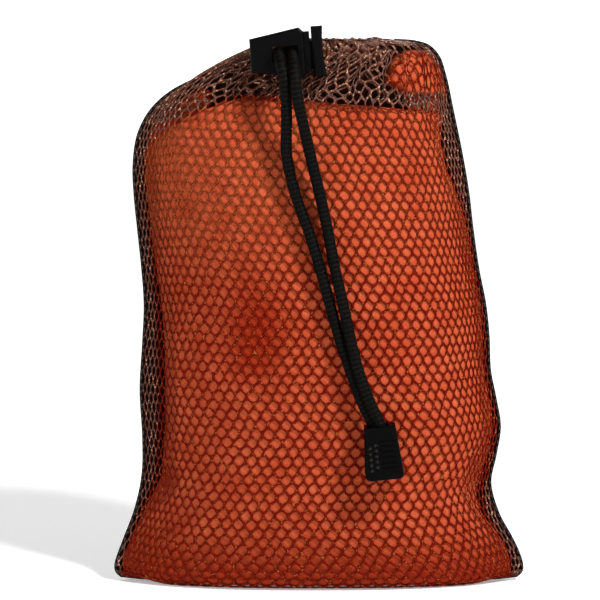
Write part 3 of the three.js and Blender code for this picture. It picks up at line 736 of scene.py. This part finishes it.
def pillow(name, grid, place, radius, recess=lambda z: 1.0):
    """A closed form with a front and a back that meet at the outline; place gives x, z and the
    distance inside the outline."""
    across, up = grid
    a, b = np.meshgrid(np.linspace(0, 1, across), np.linspace(0, 1, up))
    x, z, margin = place(a, b)
    full = np.maximum(depth_in_place(x, z) - TOWEL_CLEARANCE - ripple(x, z), THINNEST)
    depth = full * fold_round(margin, radius) * recess(z)
    points = np.vstack([as_points(x, -depth, z), as_points(x, depth, z)])
    back = grid_faces(up, across, flip=True)
    faces = grid_faces(up, across) + [tuple(across * up + k for k in face) for face in back]
    piece = make_mesh(name, points, faces, TOWEL)
    face_outward(piece)
    return piece


def ease(t):
    """Brings shares of a side closer together near its ends."""
    return t - EDGE_CLOSENESS * np.sin(TURN * t) / TURN


def main_fold(a, b):
    a = ease(a)
    b = ease(b)
    top = look_up(TOWEL_TOP, mix(TOP_LEFT_X, TOP_RIGHT_X, a))
    z = mix(TOWEL_FOOT, top, b)
    left = look_up(TOWEL_LEFT, z)
    right = look_up(TOWEL_RIGHT, z)
    x = mix(left, right, a)
    return x, z, np.where((a > 0) & (a < 1), towel_margin(x, z), 0.0)


def small_fold(outline):
    """The place of a fold whose outline shrinks towards its middle: a runs round and b outwards."""
    loop = spline(np.vstack([outline, outline[:1]]))
    middle = loop.mean(axis=0)
    share = np.linspace(0, 1, len(loop))

    def place(a, b):
        x = np.interp(a, share, loop[:, 0])
        z = np.interp(a, share, loop[:, 1])
        margin = (1 - b) * np.hypot(x - middle[0], z - middle[1])
        return mix(middle[0], x, b), mix(middle[1], z, b), margin

    return place


def puff(piece):
    """Cloth simulation under inner pressure; no point moves further than SIM_REACH."""
    before = points_of(piece.data)
    cloth = piece.modifiers.new("cloth", "CLOTH")
    cloth.settings.quality = 6
    cloth.settings.use_pressure = True
    cloth.settings.uniform_pressure_force = SIM_PRESSURE
    cloth.settings.effector_weights.gravity = 0
    cloth.point_cache.frame_start = 1
    cloth.point_cache.frame_end = SIM_FRAMES
    for number in range(1, SIM_FRAMES + 1):
        scene.frame_set(number)
    evaluated = piece.evaluated_get(bpy.context.evaluated_depsgraph_get())
    after = points_of(evaluated.data)
    piece.modifiers.clear()
    scene.frame_set(1)
    move = after - before
    move[:, (0, 2)] *= SIM_SIDE_SHARE
    size = np.linalg.norm(move, axis=1)[:, None]
    move *= np.minimum(1, SIM_REACH / np.maximum(size, 1e-9))
    piece.data.vertices.foreach_set("co", (before + move).ravel())
    piece.data.update()


def settle_inside(piece, clearance):
    """Keeps the soft form inside the sack and gives it fine creases."""
    x, y, z = points_of(piece.data).T
    fine = 0.16 * np.sin(x * 900 + 3 * np.sin(z * 260)) * np.sin(z * 700 + 2 * np.sin(x * 310))
    limit = np.maximum(depth_in_place(x, z) - clearance, 0.3 * MM)
    y = np.sign(y) * np.minimum(np.abs(y) + MM * fine, limit)
    fullest = np.abs(y) / np.maximum(crown(share_across(x, z)), 0.1)
    base = look_up(PROFILE[:BASE_POINTS], fullest) + TOWEL_FOOT
    z = mix(np.minimum(z, base), z, smooth(BASE_LOW, BASE_HIGH, z))
    z = np.maximum(z, TOWEL_FOOT + CORNER_LIFT * smooth(48 * MM, 70 * MM, np.abs(x)))
    piece.data.vertices.foreach_set("co", as_points(x, y, z).ravel())
    piece.data.update()


# Ripple depth at which the painted shade in the hollows is full, and height below which the bottom is
# painted in shade.
SHADED_HOLLOW_DEPTH = 2.2 * MM
SHADED_BOTTOM_HEIGHT = 26.0 * MM


def mark_painted_shade(piece, least=0.0):
    """Stores painted shade for each point, from how deep it lies in the hollows of the towel's front and
    how near it is to the bottom.
    """
    x, _, z = points_of(piece.data).T
    shade_share = smooth(0.0, SHADED_HOLLOW_DEPTH, ripple(x, z))
    shade_share = np.maximum(shade_share, 1 - smooth(1 * MM, SHADED_BOTTOM_HEIGHT, z))
    store(piece, "painted_shade", np.maximum(shade_share, least))


def make_towel():
    piece = pillow("towel_folded", MAIN_GRID, main_fold, FOLD_RADIUS)
    puff(piece)
    soften = piece.modifiers.new("soften", "SUBSURF")
    soften.levels = 2
    apply_modifiers(piece)
    settle_inside(piece, TOWEL_CLEARANCE * 0.8)
    mark_painted_shade(piece)
    piece.data.shade_smooth()
    return piece


towel = make_towel()
finish_piece(towel, "sack", "towel", "towel")
corner = pillow("towel_corner_fold", SMALL_GRID, small_fold(TOWEL_CORNER), CORNER_RADIUS, corner_recess)
finish_piece(corner, "sack", "towel")
under_place = small_fold(TOWEL_UNDER)
under = pillow("towel_under_fold", SMALL_GRID, under_place, CORNER_RADIUS, lambda z: UNDER_RECESS)
# The under fold is painted wholly in shade.
mark_painted_shade(under, 1.0)
finish_piece(under, "sack", "towel")


# ------------ front of the sack, lying on the towel
NET_PITCH = 4.1 * MM
NET_ROW_PITCH = 3.15 * MM
YARN_HALF_THICKNESS = 0.36 * MM
NET_GAP = 0.65 * MM
GRID_ACROSS = 181
GRID_UP = 241
RELAX_STEPS = 500
RAY_START = -0.2
TAUTNESS = 1.0 * MM
PLEATS = 11
PLEAT_DEPTH = 0.9 * MM
EDGE_CROWDING = 0.5
CROWDED_SHARE = 0.2
# Share of the height whose row sets how many cells the net has across.
MIDDLE_SHARE = 0.45


def front_grid():
    """The front as a stretched membrane held by the seams and hem, in front of the towel."""
    u, v = np.meshgrid(np.linspace(0, 1, GRID_ACROSS), np.linspace(0, 1, GRID_UP))
    x, y, z = panel_surface(u, v, -1)
    start = y.copy()
    limit = np.full(y.shape, np.inf)
    for piece in (towel, corner):
        tree = BVHTree.FromObject(piece, bpy.context.evaluated_depsgraph_get())
        for spot in np.ndindex(y.shape):
            hit = tree.ray_cast((x[spot], RAY_START, z[spot]), (0, 1, 0))[0]
            if hit is not None:
                limit[spot] = min(limit[spot], hit.y - NET_GAP)
    y = np.minimum(start + TAUTNESS, limit)
    for _ in range(RELAX_STEPS):
        middle = (y[:-2, 1:-1] + y[2:, 1:-1] + y[1:-1, :-2] + y[1:-1, 2:]) / 4
        y[1:-1, 1:-1] = np.minimum(middle, limit[1:-1, 1:-1])
    y = mix(start, y, smooth(0.11, 0.2, v))
    pleats = np.sin(TURN * PLEATS * u + 5 * np.sin(u * 4)) * smooth(MOUTH_START, 1.0, v)
    y -= PLEAT_DEPTH * pleats * np.sqrt(crown(u))
    return np.stack([x, y, z], axis=2)


FRONT = front_grid()
FRONT_NORMALS = unit(np.cross(np.gradient(FRONT, axis=1), np.gradient(FRONT, axis=0)))


def front_sample(u, v):
    """Points and unit normals of the front at shares of its width and height."""
    column = np.clip(u, 0, 1) * (GRID_ACROSS - 1)
    row = np.clip(v, 0, 1) * (GRID_UP - 1)
    c = np.minimum(column.astype(int), GRID_ACROSS - 2)
    r = np.minimum(row.astype(int), GRID_UP - 2)
    fc = (column - c)[:, None]
    fr = (row - r)[:, None]

    def between(grid):
        low = mix(grid[r, c], grid[r, c + 1], fc)
        high = mix(grid[r + 1, c], grid[r + 1, c + 1], fc)
        return mix(low, high, fr)

    return between(FRONT), unit(between(FRONT_NORMALS))


middle_row = FRONT[int(GRID_UP * MIDDLE_SHARE)]
from_side = 0.5 - np.abs(np.linspace(0, 1, GRID_ACROSS) - 0.5)
crowding = mix(EDGE_CROWDING, 1, smooth(0, CROWDED_SHARE, from_side))
WIDTH_SO_FAR = np.cumsum(np.gradient(lengths_along(middle_row)) / crowding)
WIDTH_SO_FAR -= WIDTH_SO_FAR[0]
NET_COLUMNS = int(round(WIDTH_SO_FAR[-1] / NET_PITCH))
NET_ROWS = int(round((lengths_along(PROFILE)[-1] + PROFILE[0, 0]) / NET_ROW_PITCH))

# A net cell in quarters of the pitch across and thousandths of a row up.
CELL_SHOULDER = 200
CELL_TIP = 1000 - CELL_SHOULDER
CELL_OUTLINE = [
    (2, 0), (2, CELL_SHOULDER), (1, 500), (0, CELL_TIP), (-1, 500), (-2, CELL_SHOULDER),
    (-2, 0), (-2, -CELL_SHOULDER), (-1, -500), (0, -CELL_TIP), (1, -500), (2, -CELL_SHOULDER),
]
# The rounded hole of a cell, in pitches and rows: one point towards each side and corner of its outline.
HOLE_SHARES = (0.80, 0.73)
HOLE_RING = [
    (share * x / 4, share * y / 1000) for share, (x, y) in zip(HOLE_SHARES * 6, CELL_OUTLINE)
]
# Strength of the painted sheen of the yarn at the left and at the right.
SHEEN_LEFT = 0.5
SHEEN_RIGHT = 0.15
# Each wave's turns per cell across and up, and how it shifts with the phase.
WANDER_WAVES = [(1.1, 0.7, 1.0), (0.6, -1.3, 2.1), (1.9, 0.4, 3.7)]
BODY_DISORDER = 0.12
MOUTH_DISORDER = 0.55
GATHER = 0.75
SKEW = 0.035

HEM_FOLD_END = 0.985
HEM_FOLD_ROWS = 10
HEM_FOLD_COLUMNS = 44
HEM_FOLD_DEPTH = 1.4 * MM
HEM_FOLD_MARGIN = 1.2 * MM
HEM_FOLD_STEP = 0.4


def net_mesh(name, columns, rows, place, wrap=False, keep=None):
    """A knitted net of hexagonal cells; place turns shares across and up, and a lift, into points.
    keep says whether a cell is there, from its middle."""
    index = {}
    twin = {}
    spots = []
    faces = []
    width = 4 * columns
    height = 1000 * rows

    def vertex(key, x, y, lift):
        if key not in index:
            index[key] = len(spots)
            spots.append((x / width, y / height, lift))
        return index[key]

    def edge_vertex(x, y, layer):
        x = x % width if wrap else min(max(x, 0), width)
        y = min(max(y, 0), height)
        if y in (0, height) or (not wrap and x in (0, width)):
            layer = 0
        return vertex((x, y, layer), x, y, layer)

    def unique(ring):
        return [p for k, p in enumerate(ring) if p != ring[k - 1]]

    for row in range(rows + 1):
        for column in range(columns if wrap else columns + 1):
            cx = 4 * column + 2 * (row % 2)
            cy = 1000 * row
            if keep and not keep(place(*np.array([[cx / width], [cy / height], [0.0]]))[0]):
                continue
            outline = [(cx + x, cy + y) for x, y in CELL_OUTLINE]
            whole = all((wrap or 0 <= x <= width) and 0 <= y <= height for x, y in outline)
            front = [edge_vertex(x, y, 1) for x, y in outline]
            back = [edge_vertex(x, y, -1) for x, y in outline]
            twin.update(zip(front, back))
            if not whole:
                if (wrap or cx <= width) and len(set(front)) > 2:
                    faces += [tuple(unique(front)), tuple(unique(back)[::-1])]
                continue
            hole = [
                vertex(("hole", row, column, k), cx + 4 * x, cy + 1000 * y, 0.0)
                for k, (x, y) in enumerate(HOLE_RING)
            ]
            for k in range(len(hole)):
                n = (k + 1) % len(hole)
                faces += [(front[k], front[n], hole[n], hole[k]), (back[n], back[k], hole[k], hole[n])]
    edges = {pair for face in faces for pair in zip(face, face[1:] + face[:1])}
    for a, b in sorted(edges):
        if (b, a) not in edges and a in twin and b in twin:
            faces.append(tuple(unique([b, a, twin[a], twin[b]])))
    spots = np.array(spots)
    points = place(spots[:, 0], spots[:, 1], spots[:, 2])
    piece = make_mesh(name, points, faces, NET)
    mark_over_towel(piece)
    return piece


def orange_margin(x, z):
    """Distance inside the orange seen from the front, negative outside it."""
    return np.maximum(towel_margin(x, z), corner_margin(x, z))


def mark_over_towel(piece):
    """Stores how much of the towel lies behind each point of the net, and how strong the painted sheen
    of the yarn is over it: strongest at the upper left."""
    x, y, z = points_of(piece.data).T
    store(piece, "over_towel", smooth(-1.0 * MM, 1.5 * MM, np.where(y < 0, orange_margin(x, z), -1.0)))
    # Painted sheen, in a band of heights and stronger on the left.
    painted_sheen = smooth(0.100, 0.145, z) * (1 - smooth(0.165, 0.172, z))
    store(piece, "painted_sheen", painted_sheen * mix(SHEEN_LEFT, SHEEN_RIGHT, smooth(-0.012, 0.01, x)))


def wander(across, up, phase):
    """A smooth disorder that changes over one or two cells."""
    column = across * NET_COLUMNS
    row = up * NET_ROWS
    waves = [np.sin(column * a + row * b + c * phase) for a, b, c in WANDER_WAVES]
    return sum(waves) / len(waves)


def place_front_net(across, up, lift):
    """Cells keep their size along the cloth, so they narrow towards the seams as seen from the front.
    Near the mouth they are gathered and disordered."""
    inside = np.clip(across * (1 - across) * 12, 0, 1) * np.clip((1 - up) * 14, 0, 1)
    disorder = inside * mix(BODY_DISORDER, MOUTH_DISORDER, smooth(0.84, 0.93, up))
    gather = smooth(0.84, 0.96, up) * GATHER / (TURN * PLEATS)
    across = across + gather * np.sin(TURN * PLEATS * across + 2.0 * np.sin(across * 9))
    shift = wander(across, up, 1.0) * disorder / NET_COLUMNS
    rise = wander(across, up, 4.0) * disorder / NET_ROWS
    across = across + shift
    up = up + rise
    u = np.interp(across * WIDTH_SO_FAR[-1], WIDTH_SO_FAR, np.linspace(0, 1, GRID_ACROSS))
    skew = SKEW * (across - 0.5) * smooth(0.3, 0.8, up) * (1 - smooth(0.85, 1.0, up))
    points, normals = front_sample(u, up - skew)
    return points + normals * (lift * YARN_HALF_THICKNESS)[:, None]


def place_hem_fold(across, up, lift):
    """The part of the net that is turned in below the mouth, behind the front and out of step."""
    across = across + HEM_FOLD_STEP / NET_COLUMNS * np.sin(math.pi * across)
    points = place_front_net(across, mix(MOUTH_START, HEM_FOLD_END, up), lift)
    points[:, 1] += HEM_FOLD_DEPTH
    return points


def clear_of_towel(point):
    """Whether a cell's middle shows no orange behind it."""
    return orange_margin(point[0], point[2]) < -HEM_FOLD_MARGIN


front_net = net_mesh("net_front", NET_COLUMNS, NET_ROWS, place_front_net)
finish_piece(front_net, "sack", "net", "front_net")
hem_fold = net_mesh("net_hem_fold", HEM_FOLD_COLUMNS, HEM_FOLD_ROWS, place_hem_fold, keep=clear_of_towel)
finish_piece(hem_fold, "sack", "net")


# ------------ back cloth
BACK_THICKNESS = 0.5 * MM
PRESSED_ON_TOWEL = -0.5
BACK_ACROSS = 121
BACK_UP = 161


def make_back():
    """The cloth as a thin sheet with soft folds, which are millimetres deep."""
    u, v = np.meshgrid(np.linspace(0, 1, BACK_ACROSS), np.linspace(0, 1, BACK_UP))
    x, y, z = panel_surface(u, v, 1)
    fullness = np.sqrt(crown(u)) * smooth(0.02, 0.12, v)
    pleats = np.sin(TURN * PLEATS * u + 3 * np.sin(u * 5)) * smooth(0.8, 1.0, v)
    waves = np.sin(x * 130 + 3 * np.sin(z * 45)) * np.sin(z * 75 + 2 * np.sin(x * 50))
    folds = np.abs(np.sin(x * 60 + z * 34 + 1.4 * np.sin(z * 60))) ** 6 * np.sin(z * 50 + x * 30)
    relief = 1.0 * pleats + 0.7 * waves - 1.2 * folds + 0.4
    y += MM * fullness * np.maximum(relief, PRESSED_ON_TOWEL)
    faces = grid_faces(BACK_UP, BACK_ACROSS)
    piece = make_mesh("back_cloth_sheet", as_points(x, y, z), faces, BACK)
    solid = piece.modifiers.new("thickness", "SOLIDIFY")
    solid.thickness = BACK_THICKNESS
    solid.offset = 0
    apply_modifiers(piece)
    face_outward(piece)
    piece.data.shade_smooth()
    return finish_piece(piece, "sack", "back_cloth", "back_cloth")


back_cloth = make_back()

# ------------ seam bindings
BINDING_WIDTH = 1.0 * MM
BINDING_THICKNESS = 2.4 * MM
STITCH_PITCH = 2.4 * MM
STITCH_SIZE = (0.22 * MM, 0.2 * MM, 0.8 * MM)
STITCH_LINE = 0.6
SEAM_POINTS = 200
RIBBON_SIDES = 12
RIBBON_ROUNDNESS = 0.6


def rounded(value, power):
    """A sine or cosine pushed outwards, so that a circle becomes a rounded rectangle."""
    return np.sign(value) * np.abs(value) ** power


def ribbon(name, outer, inner, thickness, material):
    """A folded tape with round edges that follows a seam in the plane y = 0."""
    middle = (outer + inner) / 2
    half = (outer - inner) / 2
    rings = []
    for step in range(RIBBON_SIDES):
        angle = TURN * step / RIBBON_SIDES
        flat = middle + half * rounded(math.cos(angle), RIBBON_ROUNDNESS)
        depth = np.full(len(flat), rounded(math.sin(angle), RIBBON_ROUNDNESS) * thickness / 2)
        rings.append(np.stack([flat[:, 0], depth, flat[:, 1]], axis=1))
    points = np.stack(rings, axis=1).reshape(-1, 3)
    piece = make_mesh(name, points, tube_faces(len(middle), RIBBON_SIDES), material)
    face_outward(piece)
    return piece


def stitches(name, line, depth):
    """Short thread lumps along a seam, on both faces of its binding."""
    points = even_points(line, int(lengths_along(line)[-1] / STITCH_PITCH))
    directions = np.gradient(points, axis=0)
    spots = [
        (x, z, math.atan2(dx, dz), side)
        for (x, z), (dx, dz) in zip(points[1:-1], directions[1:-1])
        for side in (-1, 1)
    ]

    def shape(co, spot):
        x, z, turn, side = spot
        across, out, along = (co[k] * STITCH_SIZE[k] for k in range(3))
        return (
            x + across * math.cos(turn) + along * math.sin(turn),
            side * depth + out,
            z - across * math.sin(turn) + along * math.cos(turn),
        )

    return small_balls(name, spots, 2, shape, THREAD)


def make_seam(name, node, outline, side):
    outer = even_points(outline, SEAM_POINTS)
    inner = inset(outer, BINDING_WIDTH, side)
    piece = ribbon(name, outer, inner, BINDING_THICKNESS, BINDING)
    finish_piece(piece, "sack", "binding", node)
    line = inset(outer, BINDING_WIDTH * STITCH_LINE, side)
    thread = stitches(name + "_thread", line, BINDING_THICKNESS / 2)
    finish_piece(thread, "sack", "binding")


BOTTOM_OUTLINE = MM * spline([
    (70, 1.2), (62, 0.4), (45, 0), (0, 0), (-45, 0), (-62, 0.4), (-70, 1.2),
])
make_seam("left_binding", "left_seam", LEFT_OUTLINE, 1)
make_seam("right_binding", "right_seam", RIGHT_OUTLINE, -1)
make_seam("bottom_binding", "bottom_seam", BOTTOM_OUTLINE, 1)

# ------------ gathered hem and its cord
HOLE = Vector((-11.7, -14.4, 185.9)) * MM
HEM_RADIUS = 6.0 * MM
HEM_LEFT = -7.85 * MM
HEM_RIGHT = 14.4 * MM
HEM_HALF_WIDTH = 2.9 * MM
HEM_HALF_HEIGHT = 4.5 * MM
HEM_ROUNDNESS = 0.8
HEM_GATHERS = 27
HEM_GATHER_DEPTH = 0.45 * MM
HEM_WAVES = 11
HEM_WAVE_DEPTH = 0.3 * MM
HEM_NET_COLUMNS = 36
HEM_NET_ROWS = 8
LINING_ROUND = 216
LINING_SECTION = 36
LINING_INSET = 0.45 * MM
LOCK_HALF_DEPTH = 6.0 * MM
CORD_PAIR_PITCH = 4.3 * MM
ENTRY_RADIUS = 4.2 * MM


def arc(cx, cy, radius, start, stop, count):
    angles = np.radians(np.linspace(start, stop, count))
    return [(cx + radius * math.cos(a), cy + radius * math.sin(a), HOLE.z) for a in angles]


HEM_LINE = np.array(
    arc(HEM_RIGHT, HEM_Y, HEM_RADIUS, -90, 90, 25) + arc(HEM_LEFT, HEM_Y, HEM_RADIUS, 90, 270, 25)
)
HEM_LINE = np.vstack([HEM_LINE, HEM_LINE[:1]])


def place_hem(across, up, lift):
    """The hem's gathered surface: across runs round the mouth and up runs round the hem's section."""
    along = lengths_along(HEM_LINE)
    total = along[-1]
    where = [np.interp(across * total, along, HEM_LINE[:, k]) for k in range(3)]
    ahead = [np.interp((across * total + 0.2 * MM) % total, along, HEM_LINE[:, k]) for k in range(2)]
    out = right_of(np.stack([ahead[0] - where[0], ahead[1] - where[1]], axis=1))
    angle = TURN * up
    gather = np.sin(TURN * HEM_GATHERS * across + 1.3 * np.sin(angle)) * HEM_GATHER_DEPTH
    gather += HEM_WAVE_DEPTH * np.sin(TURN * HEM_WAVES * across + 2 * angle)
    wide = rounded(np.cos(angle), HEM_ROUNDNESS) * (HEM_HALF_WIDTH + gather + lift)
    tall = rounded(np.sin(angle), HEM_ROUNDNESS) * (HEM_HALF_HEIGHT + gather * 0.6 + lift)
    return np.stack([where[0] + out[:, 0] * wide, where[1] + out[:, 1] * wide, where[2] + tall], axis=1)


def place_hem_net(across, up, lift):
    return place_hem(across, up, 0.25 * MM + lift * YARN_HALF_THICKNESS * 0.8)


def make_hem():
    net = net_mesh("hem_net", HEM_NET_COLUMNS, HEM_NET_ROWS, place_hem_net, wrap=True)
    finish_piece(net, "sack", "net", "mouth_casing")
    around = np.linspace(0, 1, LINING_ROUND, endpoint=False)
    u, v = np.meshgrid(around, np.linspace(0, 1, LINING_SECTION, endpoint=False))
    points = place_hem(u.ravel(), v.ravel(), np.full(u.size, -LINING_INSET))
    faces = grid_faces(LINING_SECTION, LINING_ROUND, wrap_rows=True, wrap_columns=True)
    lining = make_mesh("hem_lining", points, faces, BACK)
    face_outward(lining)
    finish_piece(lining, "sack", "back_cloth")
    return [net, lining]


def loop_route():
    """From the lock's front face through its hole, round inside the hem and back out beside itself."""
    left_x = HOLE.x - CORD_PAIR_PITCH / 2
    right_x = HOLE.x + CORD_PAIR_PITCH / 2
    face = HOLE.y - LOCK_HALF_DEPTH
    turn_y = HEM_Y - HEM_RADIUS - ENTRY_RADIUS
    route = [(left_x, face, HOLE.z), (left_x, face + 7 * MM, HOLE.z), (left_x, face + 14 * MM, HOLE.z)]
    route += arc(left_x + HEM_RADIUS, HEM_Y, HEM_RADIUS, 180, 90, 5)
    route += arc(HEM_RIGHT, HEM_Y, HEM_RADIUS, 90, -90, 9)
    route += arc(right_x + ENTRY_RADIUS, turn_y, ENTRY_RADIUS, 90, 180, 5)
    route += [(right_x, face + 4 * MM, HOLE.z), (right_x, face, HOLE.z)]
    return route


hem_pieces = make_hem()
cord_in_hem = braided_tube("drawcord_in_hem", spline(loop_route()), CORD_DIAMETER, CORD)
finish_piece(cord_in_hem, "sack", "cord", "drawcord_loop")

# ------------ lock and cord end
LOCK_TILT = math.radians(4)
SPRING_LOW = -10.0 * MM
SPRING_HIGH = -6.4 * MM
SPRING_RADIUS = 2.5 * MM
SPRING_WIRE = 0.25 * MM
SPRING_TURNS = 2.5
SPRING_STEPS = 90
SPRING_SIDES = 10


def lock_place(x, y, z):
    """A point of the tilted lock, from its own frame at the cord hole."""
    c, s = math.cos(LOCK_TILT), math.sin(LOCK_TILT)
    return (HOLE.x + x * c - z * s, HOLE.y + y, HOLE.z + x * s + z * c)


def make_spring():
    path = []
    for step in range(SPRING_STEPS + 1):
        angle = TURN * SPRING_TURNS * step / SPRING_STEPS
        x = mix(SPRING_LOW, SPRING_HIGH, step / SPRING_STEPS)
        path.append(lock_place(x, SPRING_RADIUS * math.cos(angle), SPRING_RADIUS * math.sin(angle)))
    points = tube_points(np.array(path), SPRING_SIDES, SPRING_WIRE)
    piece = make_mesh("lock_spring_coil", points, tube_faces(len(path), SPRING_SIDES), STEEL)
    face_outward(piece)
    finish_piece(piece, "sack", "spring_steel", "lock_spring")
    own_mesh(piece)


END_TOP = Vector((20.4, -32.9, 60.3)) * MM
END_TILT = math.radians(-6)
END_FACE = -5.2 * MM
PIP_ROWS = 5
PIP_PITCH = 1.9 * MM
PIP_COLUMNS = [(-4.1, -7.0), (-2.1, -6.05)]
PIP_SIZE = Vector((0.62, 0.55, 0.62)) * MM


def make_pips():
    """The round tips of the pips on the front of the cord end, grey as painted highlights."""
    c, s = math.cos(END_TILT), math.sin(END_TILT)
    spots = []
    for first_x, first_z in PIP_COLUMNS:
        for row in range(PIP_ROWS):
            x = first_x * MM
            z = first_z * MM - row * PIP_PITCH
            spots.append(END_TOP + Vector((x * c + z * s, END_FACE, z * c - x * s)))
    piece = small_balls("cord_end_pips", spots, 3, lambda co, spot: spot + co * PIP_SIZE, PIP_HIGHLIGHT_PLASTIC)
    finish_piece(piece, "tails", "end_plastic")


make_spring()
make_pips()
# The CAD nodes that are carried over, with their finished materials.
DRESSED = {
    "lock_body": LOCK_PLASTIC, "lock_plunger": LOCK_PLASTIC, "cord_end_front": END_PLASTIC,
    "cord_end_back": END_PLASTIC, "tail_knot": CORD,
}
for node, material in DRESSED.items():
    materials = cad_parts[node].data.materials
    materials.clear()
    materials.append(material)


# ------------ stage and light
STAGE_RADIUS = 8.0
STAGE_CURVE = 1.0
STAGE_HEIGHT = 1.7
STAGE_SIDES = 96
FLOOR_RINGS = (0.001, 0.3, 1.0, 3.0)
CURVE_STEPS = 12
# How strongly the floor glows near the object and far from it, and where the change starts and ends.
NEAR_GLOW = 0.3
FAR_GLOW = 0.95
GLOW_START = 0.5
GLOW_END = 2.2
# Name, place, power in watts and size in metres of each light.
LIGHTS = [
    ("key", (0.6, -0.75, 0.95), 19.5, 0.16),
    ("fill", (-0.8, -1.0, 0.5), 4.0, 0.8),
    ("back", (0.3, 0.9, 1.0), 6.0, 0.6),
]
LIGHT_TARGET = Vector((0, 0, 0.09))
WORLD_STRENGTH = 0.17


def make_stage():
    """A pale round floor that curves up into a far wall, whiter away from the object."""
    shader = Shader("stage_pale", (0.9, 0.9, 0.9, 1), 0.9, Emission_Color=(1, 1, 1, 1))
    away = shader.node("ShaderNodeVectorMath")
    away.operation = "LENGTH"
    shader.feed(away.inputs[0], shader.place)
    glow = shader.ramp(away.outputs["Value"], NEAR_GLOW, FAR_GLOW, GLOW_START, GLOW_END)
    shader.feed(shader.surface.inputs["Emission Strength"], glow)
    line = [(radius, 0.0) for radius in FLOOR_RINGS]
    for step in range(CURVE_STEPS + 1):
        angle = math.radians(90 * step / CURVE_STEPS)
        reach = STAGE_RADIUS - STAGE_CURVE + STAGE_CURVE * math.sin(angle)
        line.append((reach, STAGE_CURVE * (1 - math.cos(angle))))
    line.append((STAGE_RADIUS, STAGE_HEIGHT))
    angles = [TURN * side / STAGE_SIDES for side in range(STAGE_SIDES)]
    points = [(radius * math.cos(a), radius * math.sin(a), z) for radius, z in line for a in angles]
    faces = grid_faces(len(line), STAGE_SIDES, wrap_columns=True)
    faces.append(tuple(range(STAGE_SIDES)))
    make_mesh("stage", points, faces, shader.material)


def light_up():
    for name, place, power, size in LIGHTS:
        data = bpy.data.lights.new(name, "AREA")
        data.energy = power
        data.size = size
        light = add_object(name, data)
        light.location = place
        light.rotation_euler = (LIGHT_TARGET - Vector(place)).to_track_quat("-Z", "Y").to_euler()
    world = bpy.data.worlds.new("studio")
    world.use_nodes = True
    sky = world.node_tree.nodes["Background"].inputs
    sky["Color"].default_value = (1, 1, 1, 1)
    sky["Strength"].default_value = WORLD_STRENGTH
    scene.world = world


make_stage()
light_up()
bpy.context.scene.view_settings.view_transform = "Standard"
